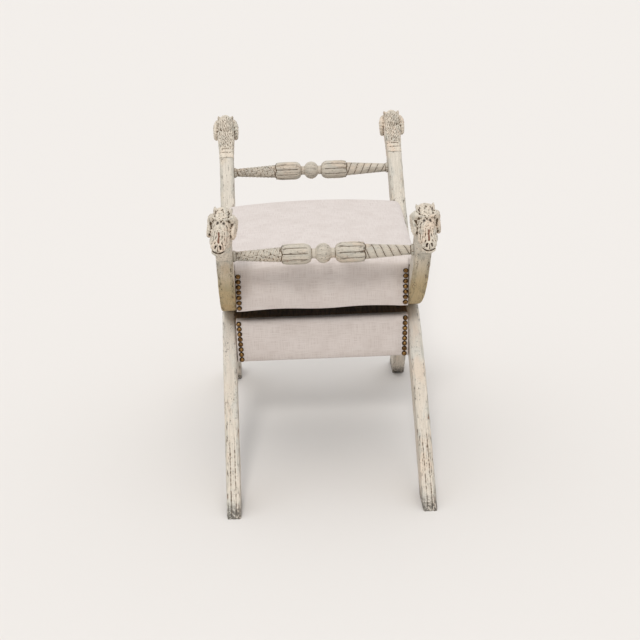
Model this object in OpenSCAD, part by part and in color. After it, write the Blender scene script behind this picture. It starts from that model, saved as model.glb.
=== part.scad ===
// Painted curule bench. Two X-shaped side frames carry four carved rams' heads, two turned
// cross rails, a padded linen seat and a padded apron box at the crossing.
// X runs across the bench, Y along it and Z up. The origin lies on the floor under its centre.
// Sizes are in millimetres. Curves of the frames are drawn in the Y-Z plane.

/* [Side frames] */
// Width over the outer faces of the two side frames
frame_w = 348; // [300:1:420]
// Height of the flat joint where the arm curve rests on the leg arch
joint_h = 258; // [230:1:290]
// Depth planed off each curve to make that flat joint
joint_cut = 2.5; // [1.5:0.1:4]
// Thickness of the curved arms, across the bench
arm_t = 27; // [22:0.5:34]
// Distance from the centre to the outer edge of an arm at its top
arm_reach = 315; // [280:1:350]
// Height of that outer edge above the joint
arm_rise = 169; // [150:1:190]
// Depth of an arm at the joint, square to its curve
arm_d_low = 50; // [42:1:58]
// Depth of an arm at its top, square to its curve
arm_d_top = 44; // [38:1:50]
// Thickness of the curved legs, across the bench
leg_t = 24; // [20:0.5:30]
// Distance from the centre to the outer end of a foot
leg_reach = 372; // [330:1:410]
// Radius-like size that rounds the top edge of the leg arch
leg_round = 190; // [150:1:230]
// Radius-like size that rounds the under edge of the leg arch
leg_round_in = 150; // [120:1:180]
// Depth of a leg at the joint
leg_d = 50; // [42:1:56]
// Length of a foot along the floor
foot_l = 72; // [60:1:84]

/* [Reeded feet] */
// Height of the reeded part of each leg
reed_h = 100; // [60:1:130]
// Number of reeds across a leg
reed_count = 4; // [3:1:6]
// Width of a groove between two reeds
groove_w = 1.6; // [1:0.1:2.4]
// Depth of a groove between two reeds
groove_d = 1.8; // [1:0.1:2.5]

/* [Rams' heads] */
// Length of the neck, from the joint on the arm to the middle of the skull
neck_l = 76; // [64:1:86]
// Radius of the skull
skull_r = 23; // [19:0.5:26]
// Length of the face, from the middle of the skull to the muzzle
face_l = 47; // [40:1:56]
// Radius of the muzzle
muzzle_r = 9.5; // [8:0.5:12]
// Radius of the outer turn of a horn
horn_turn_r = 17; // [13:0.5:21]
// Radius of a horn where it leaves the skull
horn_r = 6.6; // [5:0.2:8]
// Radius of the round tenon under each neck
neck_tenon_r = 7; // [5:0.5:8]
// Length of that tenon
neck_tenon_l = 12; // [8:1:14]

/* [Turned cross rails] */
// Distance from the head joint down the arm to the rail's axis
rail_drop = 23; // [20:0.5:30]
// Radius of the round bead at mid-length
bead_r = 17; // [14:0.5:20]
// Length of that bead
bead_l = 25; // [20:0.5:30]
// Radius of the necks beside the bead
rail_neck_r = 6.8; // [5:0.2:9]
// Length of each neck
rail_neck_l = 7; // [5:0.5:10]
// Largest radius of the leaf-carved bulbs
bulb_r = 16.5; // [13:0.5:19]
// Length of each bulb
bulb_l = 47; // [38:0.5:54]
// Radius of the taper where it leaves the bulb
taper_r = 12.3; // [9.9:0.1:13.5]
// Radius of the taper at its collar
taper_end_r = 7.8; // [6.5:0.1:9]
// Radius of the collar against the arm
collar_r = 10.5; // [9:0.2:13]
// Length of the collar
collar_l = 5; // [4:0.5:8]
// Radius of the spigot that enters the arm
spigot_r = 6; // [4.5:0.1:6.4]
// Length of that spigot
spigot_l = 15; // [10:0.5:18]

/* [Seat frame] */
// Height of the seat frame's top edge above the joint
deck_rise = 114; // [104:1:122]
// Depth of the seat frame's boards
seat_rail_h = 76; // [66:1:80]
// Thickness of the long boards
long_rail_t = 20; // [16:0.5:24]
// Thickness of the canted end boards
end_rail_t = 22; // [18:0.5:26]
// Half-length of the seat frame at its top edge, over the end boards
deck_half_l = 184; // [178:0.5:186]
// Angle by which the end boards lean outwards
end_lean = 17; // [12:1:20]
// Thickness of the boards that fill the arm curve behind the cover's sides
fillet_t = 10; // [8:0.5:11]
// Side of the square blocks glued in the seat frame's corners
block_w = 26; // [20:1:32]
// Radius of the dowels
dowel_r = 4; // [3:0.5:5]
// Length of the dowels
dowel_l = 32; // [24:1:36]

/* [Upholstery] */
// Width of the webbing
web_w = 44; // [36:1:48]
// Thickness of the webbing
web_t = 1.5; // [1:0.1:2]
// Thickness of the hessian sheet
hessian_t = 1; // [0.8:0.1:1.5]
// Distance that the cover stands out over the side frames' inner faces
seat_over = 16; // [14:0.5:18]
// Distance that the cover stands out over the seat frame's ends
seat_end_over = 6; // [4:0.5:10]
// Height from the seat frame's top edge to the start of the cover's rounded edge
seat_edge_rise = 12; // [10:0.5:16]
// Width of the cover's rounded edge
edge_r = 14; // [10:0.5:18]
// Height of the cover's rounded edge
edge_rise = 9; // [7:0.5:12]
// Height of the seat's crown
crown = 7; // [5:0.5:12]
// Distance by which the cover's sides are drawn in at the hem and at the edge
side_draw = 2.5; // [1.5:0.1:2.8]
// Thickness of the linen cover with its wadding
cover_t = 2.2; // [1.6:0.1:2.6]
// Thickness of the linen panels along their nailed edges
panel_edge_t = 3; // [2.5:0.1:4]
// Height by which the padded middle of a panel swells over its edges
panel_swell = 5; // [3:0.5:7]
// Thickness of the linen borders on the seat's sides
border_t = 3.4; // [2.5:0.1:3.6]
// Distance by which a panel's edges are drawn in
panel_draw = 1.2; // [0.8:0.1:2]
// Thickness of the dust covers
dust_t = 0.8; // [0.6:0.1:1.2]

/* [Apron box] */
// Depth of the apron's boards below the joint
apron_h = 71; // [60:1:74]
// Half-length of the apron box over its boards
apron_half_l = 118; // [105:1:130]
// Thickness of the apron's upright boards
apron_t = 18; // [14:0.5:22]
// Thickness of the apron's top board
apron_top_t = 12; // [9:0.5:14]

/* [Upholstery nails] */
// Diameter of a domed nail head
nail_d = 9.2; // [8:0.1:9.2]
// Height of a nail head
nail_h = 3.6; // [2:0.1:4]
// Distance between neighbouring nails on the seat
nail_pitch = 10.8; // [9.4:0.1:12]
// Distance between neighbouring nails on the apron
apron_nail_pitch = 9.3; // [9.3:0.1:12]
// Distance from the nail rows to the faces of the side frames
nail_inset = 5.4; // [5:0.1:7]
// Radius of a nail's shank
shank_r = 0.9; // [0.7:0.1:1.2]
// Length of a nail's shank
shank_l = 9.5; // [7:0.5:9.5]
// Distance by which the seat's end rows lie below the middle of their boards
end_row_drop = 2.5; // [0:0.5:3]
// Distance by which the apron's rows close in towards its lower edge
apron_row_draw = 3; // [0:0.5:5]

/* [Joinery] */
// Gap between a wooden pin or tenon and its hole
fit_gap = 0.15; // [0.1:0.05:0.3]
// Gap between soft pieces and what they lie against
soft_gap = 0.3; // [0.2:0.1:0.5]
// Thickness of the loose tongues inside the side frames
tongue_t = 9; // [7:0.5:10]
// Width of those tongues
tongue_w = 24; // [18:1:30]
// Length of those tongues
tongue_l = 70; // [50:1:80]
// Length of the screws that hold the seat frame to the arms
screw_l = 36; // [32:1:42]
// Radius of those screws
screw_r = 2; // [1.5:0.1:2.5]

/* [Hidden] */

// Smoothness of turned pieces, of hulls and of swept curves
turn_fn = 48;
hull_fn = 24;
curve_steps = 22;
cut_over = 1;

// Paint, wood, linen and metal
paint_color = [0.84, 0.80, 0.73];
bare_wood = [0.55, 0.42, 0.28];
linen_color = [0.87, 0.84, 0.81];
brass_color = [0.45, 0.32, 0.17];
dust_color = [0.18, 0.16, 0.15];
jute_color = [0.62, 0.50, 0.35];
hair_color = [0.42, 0.36, 0.30];

frame_out = frame_w / 2;
arm_in = frame_out - arm_t;
leg_in = frame_out - leg_t;

// Outer edge of an arm: a parabola that starts just below the joint
arm_low = joint_h - joint_cut;
arm_k = (arm_rise + joint_cut) / (arm_reach * arm_reach);
function arm_edge(u) = [u, arm_low + arm_k * u * u];
function arm_slope(u) = 2 * arm_k * u;
function arm_depth(u) = arm_d_low + (arm_d_top - arm_d_low) * u / arm_reach;
function arm_along(u) = [1, arm_slope(u)] / norm([1, arm_slope(u)]);
function arm_normal(u) = [-arm_slope(u), 1] / norm([1, arm_slope(u)]);
function arm_inner(u) = arm_edge(u) + arm_normal(u) * arm_depth(u);

// Place on the arm curve at which its inner edge reaches a distance (axis 0) or a height (axis 1)
function arm_inner_u(value, axis, low = 0, high = arm_reach, turns = 24) =
    turns == 0 ? (low + high) / 2
    : let (mid = (low + high) / 2)
      arm_inner(mid)[axis] < value ? arm_inner_u(value, axis, mid, high, turns - 1)
                                   : arm_inner_u(value, axis, low, mid, turns - 1);
function arm_inner_y(z) = arm_inner(arm_inner_u(z, 1))[0];
function arm_inner_z(y) = arm_inner(arm_inner_u(y, 0))[1];

// Edges of a leg: two hyperbolas that meet the floor
leg_top = joint_h + joint_cut;
function leg_steep(top, round_size, reach) =
    sqrt(pow(top + round_size, 2) - round_size * round_size) / reach;
function leg_curve(u, top, round_size, reach) =
    [u, top + round_size - norm([round_size, leg_steep(top, round_size, reach) * u])];
function leg_edge(u) = leg_curve(u, leg_top, leg_round, leg_reach);
function leg_inner(u) = leg_curve(u, leg_top - leg_d, leg_round_in, leg_reach - foot_l);

// Joint between an arm and its ram's head, and the axis of the cross rail below it
head_joint = arm_edge(arm_reach) + arm_normal(arm_reach) * arm_d_top / 2;
neck_dir = arm_along(arm_reach);
neck_lean = atan2(neck_dir[1], neck_dir[0]);
rail_at = head_joint - neck_dir * rail_drop;
arm_mid_x = frame_out - arm_t / 2;

// Heights of the seat and of the apron
deck_z = joint_h + deck_rise;
seat_low = deck_z - seat_rail_h;
seat_half_w = arm_in + seat_over;
seat_half_l = deck_half_l + seat_end_over;
lean_run = tan(end_lean);
end_rail_run = end_rail_t / cos(end_lean);
apron_low = joint_h - apron_h;
pad_low = deck_z + 2 * web_t + hessian_t + soft_gap;

// Puts a piece drawn for the right side, or for the near end, on the other side or end
module on_left() { mirror([1, 0, 0]) children(); }
module on_far() { mirror([0, 1, 0]) children(); }

// Stands a Y-Z outline up, from the inner face x_in to the outer face x_out
module slab(x_in, x_out, outline) {
    translate([x_in, 0, 0]) rotate([90, 0, 90])
        linear_extrude(height = x_out - x_in) polygon(outline);
}
module near_slab(x_in, x_out, outline) { slab(x_in, x_out, [for (p = outline) [-p[0], p[1]]]); }

// Pin or bore along X
module x_pin(x_from, x_to, y, z, r) {
    translate([x_from, y, z]) rotate([0, 90, 0]) cylinder(r = r, h = x_to - x_from, $fn = turn_fn);
}

// Dowelled joints between the end boards and the arms, below the height at which a board's middle
// line leaves the arm
function end_board_y(z) = deck_half_l - end_rail_run / 2 - (deck_z - z) * lean_run;
function end_meet_z(low, high, turns = 16) =
    turns == 0 ? low
    : let (mid = (low + high) / 2)
      arm_inner_z(end_board_y(mid)) > mid ? end_meet_z(mid, high, turns - 1)
                                          : end_meet_z(low, mid, turns - 1);
low_dowel_share = 0.35;
end_joint_top = end_meet_z(seat_low, deck_z);
top_dowel_depth = 3 * dowel_r;
end_dowel_heights = [seat_low + (end_joint_top - seat_low) * low_dowel_share, end_joint_top - top_dowel_depth];
apron_dowel_y = apron_half_l - apron_t * 0.62;
apron_dowel_at = [apron_dowel_y, leg_edge(apron_dowel_y)[1] - leg_d * 0.45];
apron_top_dowel_y = leg_d * 0.4;

// Loose tongues cross the middle of each frame, and dowels pin the two curves together
arm_tongue_z = joint_h + arm_d_low / 2;
leg_tongue_z = joint_h - leg_d / 2;
hub_dowel_y = dowel_r * 2.4;
hub_dowel_half = (arm_d_low - tongue_w) / 2 - cut_over;

module arm_tongue(gap) {
    translate([arm_mid_x, 0, arm_tongue_z])
        cube([tongue_t + 2 * gap, tongue_l + 2 * gap, tongue_w + 2 * gap], center = true);
}
module leg_tongue(gap) {
    translate([leg_in + leg_t / 2, 0, leg_tongue_z])
        cube([tongue_t + 2 * gap, tongue_l + 2 * gap, tongue_w + 2 * gap], center = true);
}
module hub_pins(r, half) {
    for (side = [-1, 1])
        translate([leg_in + leg_t / 2, side * hub_dowel_y, joint_h - half])
            cylinder(r = r, h = 2 * half, $fn = turn_fn);
}

// Screws through the long seat boards into the arms
screw_u_shares = [0.16, 0.36];
screw_head_r = 2 * screw_r;
screw_x = arm_in - long_rail_t + 2 * screw_r;
module seat_screw(y, z, gap) {
    x_pin(screw_x - gap, screw_x + screw_l - screw_head_r + gap, y, z, screw_r + gap);
    translate([screw_x - screw_r - gap, y, z]) rotate([0, 90, 0])
        cylinder(r = screw_head_r + gap, h = screw_r + gap, $fn = turn_fn);
}
function screw_at(share) =
    let (p = arm_inner(arm_reach * share))
    [p[0], max(p[1] - arm_depth(0) * 0.2, seat_low + 2 * screw_head_r)];
module right_screws(gap) {
    for (share = screw_u_shares, side = [-1, 1])
        seat_screw(side * screw_at(share)[0], screw_at(share)[1], gap);
}

// Curved arm
module arm_near() {
    steps = [for (i = [0:curve_steps]) arm_reach * i / curve_steps];
    outline = concat([for (u = steps) [u, max(arm_edge(u)[1], joint_h)]],
                     [for (i = [curve_steps:-1:0]) arm_inner(steps[i])]);
    color(paint_color) difference() {
        near_slab(arm_in, frame_out, outline);
        arm_tongue(fit_gap);
        hub_pins(dowel_r + fit_gap, hub_dowel_half + fit_gap);
        right_screws(fit_gap);
        x_pin(arm_in - cut_over, arm_in + spigot_l + fit_gap, -rail_at[0], rail_at[1], spigot_r + fit_gap);
        for (z = end_dowel_heights)
            x_pin(arm_in - cut_over, arm_in + dowel_l / 2 + fit_gap, -end_board_y(z), z, dowel_r + fit_gap);
        translate([arm_mid_x, -head_joint[0], head_joint[1]]) rotate([90 - neck_lean, 0, 0])
            translate([0, 0, -neck_tenon_l - fit_gap])
                cylinder(r = neck_tenon_r + fit_gap, h = neck_tenon_l + fit_gap + cut_over, $fn = turn_fn);
    }
}

// Curved leg with reeds worked on its lower outer face
module reed_grooves() {
    steps = [for (i = [0:curve_steps]) leg_reach * (1 - 0.4 * i / curve_steps)];
    low_steps = [for (u = steps) if (leg_edge(u)[1] < reed_h) u];
    sunk = [groove_d, groove_d] / sqrt(2);
    outline = concat([for (u = low_steps) leg_edge(u) + [cut_over, cut_over]],
                     [for (i = [len(low_steps) - 1:-1:0]) leg_edge(low_steps[i]) - sunk]);
    for (i = [1:reed_count - 1]) {
        groove_x = leg_in + leg_t * i / reed_count;
        near_slab(groove_x - groove_w / 2, groove_x + groove_w / 2, outline);
    }
}
module leg_near() {
    top = [for (i = [0:curve_steps]) leg_edge(leg_reach * i / curve_steps)];
    outline = concat([for (p = top) [p[0], min(p[1], joint_h)]],
                     [for (i = [curve_steps:-1:0]) leg_inner((leg_reach - foot_l) * i / curve_steps)]);
    color(paint_color) difference() {
        near_slab(leg_in, frame_out, outline);
        leg_tongue(fit_gap);
        hub_pins(dowel_r + fit_gap, hub_dowel_half + fit_gap);
        reed_grooves();
        x_pin(leg_in - cut_over, leg_in + dowel_l / 2 + fit_gap,
              -apron_dowel_at[0], apron_dowel_at[1], dowel_r + fit_gap);
        x_pin(leg_in - cut_over, leg_in + dowel_l / 2 + fit_gap,
              -apron_top_dowel_y, joint_h - apron_top_t / 2, dowel_r + fit_gap);
    }
}

// Carved ram's head, drawn in a frame with +Z up the neck, +Y towards the back of the neck
// and -Y along the face. It turns with the slope of the arm's end.
horn_steps = 20;
horn_sides = 8;
horn_sweep = 430;
skull_share = 0.76;
muzzle_share = 1.4;
skull_at = [0, -neck_l * 0.05, neck_l];
muzzle_at = skull_at + [0, -face_l * 0.92, -face_l * 0.12];
brow_at = skull_at + (muzzle_at - skull_at) * 0.4 + [0, 0, skull_r * 0.16];
function horn_turn(t) = 60 + horn_sweep * t;
function horn_size(t) = horn_r * (1 - 0.62 * t);
function horn_at(t) = let (a = horn_turn(t), r = horn_turn_r * (1 - 0.66 * t))
    [skull_r * 0.62 + horn_r * 1.3 * sin(90 * t),
     skull_at[1] + r * cos(a), skull_at[2] - horn_r * 0.4 + r * sin(a)];
function horn_ring(t) = let (c = horn_at(t), a = horn_turn(t))
    [for (i = [0:horn_sides - 1]) let (b = 360 * i / horn_sides)
        c + horn_size(t) * (cos(b) * [0, cos(a), sin(a)] + sin(b) * [1, 0, 0])];
module horn() { soft_solid([for (i = [0:horn_steps]) horn_ring(i / horn_steps)]); }
module ear() {
    hull() {
        translate(skull_at + [skull_r * 0.5, -skull_r * 0.35, skull_r * 0.72])
            sphere(r = horn_r * 0.6, $fn = hull_fn / 2);
        translate(skull_at + [skull_r * 0.62, -skull_r * 0.2, skull_r * 1.1])
            sphere(r = horn_r * 0.25, $fn = hull_fn / 2);
    }
}
module ram_head_local() {
    cylinder(r = neck_tenon_r, h = neck_tenon_l, $fn = hull_fn);
    translate([0, 0, neck_tenon_l]) {
        hull() {
            translate([-arm_t / 2, -arm_d_top / 2, 0]) cube([arm_t, arm_d_top, cut_over]);
            translate(skull_at) scale([skull_share, 1, 1]) sphere(r = skull_r, $fn = hull_fn);
        }
        hull() {
            translate(skull_at) scale([skull_share, 1, 1]) sphere(r = skull_r, $fn = hull_fn);
            translate(brow_at) sphere(r = skull_r * 0.66, $fn = hull_fn);
        }
        hull() {
            translate(brow_at) sphere(r = skull_r * 0.66, $fn = hull_fn);
            translate(muzzle_at) scale([muzzle_share, 1, 1]) sphere(r = muzzle_r, $fn = hull_fn);
        }
        horn();
        mirror([1, 0, 0]) horn();
        ear();
        mirror([1, 0, 0]) ear();
    }
}
module ram_head_near() {
    color(paint_color) translate([arm_mid_x, -head_joint[0], head_joint[1]]) rotate([90 - neck_lean, 0, 0])
        translate([0, 0, -neck_tenon_l]) ram_head_local();
}

// Turned cross rail, lathe-turned about X, symmetrical about its bead
bead_half = bead_l / 2;
bulb_start = bead_half + rail_neck_l;
bulb_end = bulb_start + bulb_l;
bead_steps = 10;
bulb_nose_share = 0.3;
half_profile = concat(
    [for (i = [0:bead_steps]) let (a = 90 * i / bead_steps)
        [rail_neck_r + (bead_r - rail_neck_r) * cos(a), bead_half * sin(a)]],
    [for (i = [0:bead_steps]) let (a = 90 * i / bead_steps)
        [rail_neck_r + (bulb_r - rail_neck_r) * sin(a),
         bulb_start + bulb_l * bulb_nose_share * (1 - cos(a))]],
    [[bulb_r * 0.94, bulb_end], [taper_r, bulb_end + (bulb_r - taper_r) / 3],
     [taper_end_r, arm_in - collar_l], [collar_r, arm_in - collar_l], [collar_r, arm_in],
     [spigot_r, arm_in], [spigot_r, arm_in + spigot_l], [0, arm_in + spigot_l]]);
mirrored_profile = [for (i = [len(half_profile) - 1:-1:1]) [half_profile[i][0], -half_profile[i][1]]];
module cross_rail_near_piece() {
    color(paint_color) translate([0, -rail_at[0], rail_at[1]]) rotate([0, 90, 0])
        rotate_extrude($fn = turn_fn) polygon(concat(half_profile, mirrored_profile));
}

// Loose joinery inside the side frames
module frame_tongue_set() {
    color(bare_wood) {
        arm_tongue(0);
        leg_tongue(0);
        on_left() arm_tongue(0);
        on_left() leg_tongue(0);
    }
}
module hub_dowel_set() {
    color(bare_wood) {
        hub_pins(dowel_r, hub_dowel_half);
        on_left() hub_pins(dowel_r, hub_dowel_half);
    }
}

// Seat frame: long boards, canted end boards, corner blocks and the boards that fill the arm curves
long_end = deck_half_l - end_rail_run;
module seat_rail_right_piece() {
    top_y = long_end - fit_gap;
    low_y = top_y - seat_rail_h * lean_run;
    color(bare_wood) difference() {
        slab(arm_in - long_rail_t, arm_in,
             [[-low_y, seat_low], [low_y, seat_low], [top_y, deck_z], [-top_y, deck_z]]);
        right_screws(fit_gap);
    }
}
module end_dowel_pins(r, gap) {
    for (z = end_dowel_heights)
        x_pin(arm_in - dowel_l / 2 - gap, arm_in + dowel_l / 2 + gap, -end_board_y(z), z, r);
}
module end_rail_near_piece() {
    low_y = deck_half_l - seat_rail_h * lean_run;
    color(bare_wood) difference() {
        near_slab(-arm_in, arm_in, [[deck_half_l, deck_z], [low_y, seat_low],
                                    [low_y - end_rail_run, seat_low], [deck_half_l - end_rail_run, deck_z]]);
        end_dowel_pins(dowel_r + fit_gap, fit_gap);
        on_left() end_dowel_pins(dowel_r + fit_gap, fit_gap);
        end_nail_shanks(fit_gap);
    }
}
module corner_block_set() {
    block_h = seat_rail_h * 0.7;
    block_y = long_end - seat_rail_h * lean_run - fit_gap;
    color(bare_wood)
        for (x_side = [0, 1], y_side = [0, 1]) mirror([x_side, 0, 0]) mirror([0, y_side, 0])
            translate([arm_in - long_rail_t - block_w, block_y - block_w, seat_low])
                cube([block_w, block_w, block_h]);
}
module side_fillet_right_piece() {
    end_u = arm_inner_u(deck_z, 1);
    half = [for (i = [0:curve_steps]) let (u = arm_reach * i / curve_steps) if (u < end_u) arm_inner(u)];
    low_edge = concat([for (i = [len(half) - 1:-1:1]) [-half[i][0], half[i][1]]], half);
    end_y = half[len(half) - 1][0];
    color(bare_wood) difference() {
        slab(arm_in, arm_in + fillet_t, concat(low_edge, [[end_y, deck_z], [-end_y, deck_z]]));
        side_nail_shanks(fit_gap);
    }
}
border_out = arm_in + fillet_t + soft_gap + border_t;
module side_border_right_piece() {
    top_z = deck_z;
    end_u = arm_inner_u(top_z, 1);
    half = [for (i = [0:curve_steps]) let (u = arm_reach * i / curve_steps)
        if (u < end_u) arm_inner(u) + arm_normal(u) * soft_gap];
    low_edge = concat([for (i = [len(half) - 1:-1:1]) [-half[i][0], half[i][1]]], half);
    end_y = half[len(half) - 1][0];
    color(linen_color) difference() {
        slab(border_out - border_t, border_out, concat(low_edge, [[end_y, top_z], [-end_y, top_z]]));
        side_nail_shanks(fit_gap);
    }
}
module end_dowel_set() {
    color(bare_wood)
        for (x_side = [0, 1], y_side = [0, 1])
            mirror([x_side, 0, 0]) mirror([0, y_side, 0]) end_dowel_pins(dowel_r, 0);
}
module seat_screw_set() {
    color(brass_color) {
        right_screws(0);
        on_left() right_screws(0);
    }
}

// Webbing, laid crosswise and then lengthwise, and the hessian over it
cross_web_count = 5;
long_web_count = 5;
module webbing_cross_set() {
    notch_y = arm_inner_y(deck_z) - arm_clear - side_draw - cover_t - soft_gap;
    reach = min(notch_y, deck_half_l - end_rail_t * 0.1) - web_w / 2;
    color(jute_color) for (i = [0:cross_web_count - 1])
        translate([0, reach * (2 * i / (cross_web_count - 1) - 1), deck_z + web_t / 2])
            cube([2 * (arm_in + fillet_t * 0.6), web_w, web_t], center = true);
}
module webbing_long_set() {
    reach = arm_in - long_rail_t - web_w / 2;
    color(jute_color) for (i = [0:long_web_count - 1])
        translate([reach * (2 * i / (long_web_count - 1) - 1), 0, deck_z + web_t * 1.5])
            cube([web_w, 2 * (deck_half_l - end_rail_t * 0.2), web_t], center = true);
}
module hessian_piece() {
    color(jute_color) translate([0, 0, deck_z + 2 * web_t + hessian_t / 2])
        cube([2 * (arm_in - soft_gap), 2 * (deck_half_l - end_rail_t * 0.1), hessian_t], center = true);
}

// Closed skin over a list of rings with the same number of points, closed by a fan at each end
function mean(points) = [for (i = [0:2]) [for (p = points) p[i]] * [for (p = points) 1] / len(points)];
module soft_solid(rings, first_tip = undef, last_tip = undef) {
    count = len(rings[0]);
    last = len(rings) - 1;
    tips = [is_undef(first_tip) ? mean(rings[0]) : first_tip,
            is_undef(last_tip) ? mean(rings[last]) : last_tip];
    points = concat([for (ring = rings) for (p = ring) p], tips);
    first_id = count * (last + 1);
    sides = [for (i = [0:last - 1], j = [0:count - 1]) let (k = (j + 1) % count, a = i * count, b = a + count)
        each [[a + j, a + k, b + k], [a + j, b + k, b + j]]];
    caps = [for (j = [0:count - 1]) let (k = (j + 1) % count)
        each [[first_id, k, j], [first_id + 1, last * count + j, last * count + k]]];
    polyhedron(points = points, faces = concat(sides, caps), convexity = 8);
}

// Outline of the seat in one quadrant. Under the rounded edge it is cut back around the arms,
// by notch = 1, and further up it becomes a plain rounded rectangle, by notch = 0.
arm_clear = 1;
corner_share = 0.3;
flank_steps = 3;
edge_turns = 4;
function notched(a, b, x, y, r) =
    concat([for (i = [0:flank_steps]) [a, (y - r) * i / flank_steps]],
           [[a - r, y], [x, y], [x, b - r], [x - r, b], [x * 0.5, b]]);
function rounded(a, b, r, flank) =
    concat([for (i = [0:flank - 1]) [a, (b - r) * i / (flank - 1)]],
           [for (i = [1:edge_turns]) let (t = 90 * i / edge_turns) [a - r + r * cos(t), b - r + r * sin(t)]],
           [[(a - r) * 0.5, b]]);
function all_round(quarter) =
    concat(quarter, [[0, quarter[len(quarter) - 1][1]]],
           [for (i = [len(quarter) - 1:-1:0]) [-quarter[i][0], quarter[i][1]]],
           [for (i = [1:len(quarter) - 1]) [-quarter[i][0], -quarter[i][1]]],
           [[0, -quarter[len(quarter) - 1][1]]],
           [for (i = [len(quarter) - 1:-1:1]) [quarter[i][0], -quarter[i][1]]]);

function seat_ring(inset, z, notch) =
    let (a = seat_half_w - inset, b = seat_half_l - inset,
         y = arm_inner_y(min(z, deck_z + seat_edge_rise * 0.3)) - arm_clear - inset,
         cut = notched(a, b, arm_in - arm_clear - inset, y, cover_t * 1.4),
         plain = rounded(a, b, edge_r, flank_steps + 1),
         mix = [for (i = [0:len(cut) - 1]) notch * cut[i] + (1 - notch) * plain[i]])
    [for (p = all_round(mix)) [p[0], p[1], z]];

// Rings of the seat from its rim to its crown, at a distance inside the cover's outer surface.
// The sides swell by bulge between rim and edge, and ease draws the whole outline further in.
side_steps = 3;
edge_steps = 4;
crown_steps = 4;
function seat_rings(inside, rim_z, bulge, ease) =
    let (edge_z = deck_z + seat_edge_rise - inside, top_z = edge_z + edge_rise + crown,
         drawn = inside + ease + side_draw, flat = drawn + edge_r)
    concat(
        [for (i = [0:side_steps]) let (t = i / side_steps)
            seat_ring(drawn - bulge * 4 * t * (1 - t), rim_z + t * (edge_z - rim_z), 1)],
        [for (i = [1:edge_steps]) let (t = 90 * i / edge_steps)
            seat_ring(drawn + edge_r * (1 - cos(t)), edge_z + edge_rise * sin(t), 1 - i / edge_steps)],
        [for (i = [1:crown_steps]) let (q = 1 - i / (crown_steps + 1))
            seat_ring(seat_half_w - (seat_half_w - flat) * q, top_z - crown * q * q, 0)]);
hem_z = deck_z + soft_gap;
function reverse(list) = [for (i = [len(list) - 1:-1:0]) list[i]];
function seat_tip(inside) = [0, 0, deck_z + seat_edge_rise - inside + edge_rise + crown];
module seat_pad_piece() {
    pad_inside = cover_t + soft_gap;
    pad_ease = cover_t;
    color(hair_color)
        soft_solid(seat_rings(pad_inside, pad_low, 0, pad_ease), last_tip = seat_tip(pad_inside));
}
module seat_cover_piece() {
    color(linen_color)
        soft_solid(concat(reverse(seat_rings(cover_t, hem_z, side_draw, 0)),
                          seat_rings(0, hem_z, side_draw, 0)),
                   first_tip = seat_tip(cover_t), last_tip = seat_tip(0));
}

// Crowned panel that lies on the X-Y plane and swells along +Z
panel_steps = 6;
function panel_ring(half_w, half_h, r, inset, z) =
    [for (p = all_round(rounded(half_w - inset, half_h - inset, r, 3))) [p[0], p[1], z]];
module crowned_panel(half_w, half_h, row_draw) {
    corner_r = panel_edge_t * 1.4;
    border = nail_inset + row_draw + nail_d * 0.6;
    swell_run = half_h * 0.85 - border;
    soft_solid(concat(
        [panel_ring(half_w, half_h, corner_r, panel_draw, 0),
         panel_ring(half_w, half_h, corner_r, 0, panel_edge_t * 0.6),
         panel_ring(half_w, half_h, corner_r, panel_draw, panel_edge_t),
         panel_ring(half_w, half_h, corner_r, border, panel_edge_t)],
        [for (i = [1:panel_steps]) let (t = i / panel_steps)
            panel_ring(half_w, half_h, corner_r,
                       border + swell_run * t, panel_edge_t + panel_swell * sin(90 * t))]));
}

// Linen panels on the canted end boards of the seat
end_panel_top = deck_z - soft_gap;
end_panel_low = seat_low - panel_edge_t;
end_panel_half_h = (end_panel_top - end_panel_low) / 2 / cos(end_lean);
module on_end_rail() {
    mid_z = (end_panel_top + end_panel_low) / 2;
    translate([0, -(deck_half_l - (deck_z - mid_z) * lean_run), mid_z])
        rotate([90 + end_lean, 0, 0]) translate([0, 0, soft_gap]) children();
}
module end_panel_near_piece() {
    color(linen_color) difference() {
        on_end_rail() crowned_panel(arm_in - soft_gap, end_panel_half_h, 0);
        end_nail_shanks(fit_gap);
    }
}
module seat_dust_piece() {
    color(dust_color) translate([0, 0, seat_low - dust_t / 2 - soft_gap])
        cube([2 * (arm_in - soft_gap), 2 * (long_end - seat_rail_h * lean_run), dust_t], center = true);
}

// Apron box at the crossing, dowelled to the legs
module apron_board_near_piece() {
    color(bare_wood) difference() {
        near_slab(-leg_in, leg_in, [[apron_half_l, apron_low], [apron_half_l, joint_h],
                                    [apron_half_l - apron_t, joint_h], [apron_half_l - apron_t, apron_low]]);
        apron_side_pin(dowel_r + fit_gap, fit_gap);
        on_left() apron_side_pin(dowel_r + fit_gap, fit_gap);
        apron_nail_shanks(fit_gap);
    }
}
module apron_side_pin(r, gap) {
    x_pin(leg_in - dowel_l / 2 - gap, leg_in + dowel_l / 2 + gap, -apron_dowel_at[0], apron_dowel_at[1], r);
}
module apron_top_pin(r, gap) {
    x_pin(leg_in - dowel_l / 2 - gap, leg_in + dowel_l / 2 + gap,
          -apron_top_dowel_y, joint_h - apron_top_t / 2, r);
}
module apron_top_piece() {
    half_l = apron_half_l - apron_t;
    color(bare_wood) difference() {
        slab(-leg_in, leg_in, [[-half_l, joint_h - apron_top_t], [half_l, joint_h - apron_top_t],
                               [half_l, joint_h], [-half_l, joint_h]]);
        for (x_side = [0, 1], y_side = [0, 1]) mirror([x_side, 0, 0]) mirror([0, y_side, 0])
            apron_top_pin(dowel_r + fit_gap, fit_gap);
    }
}
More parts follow.
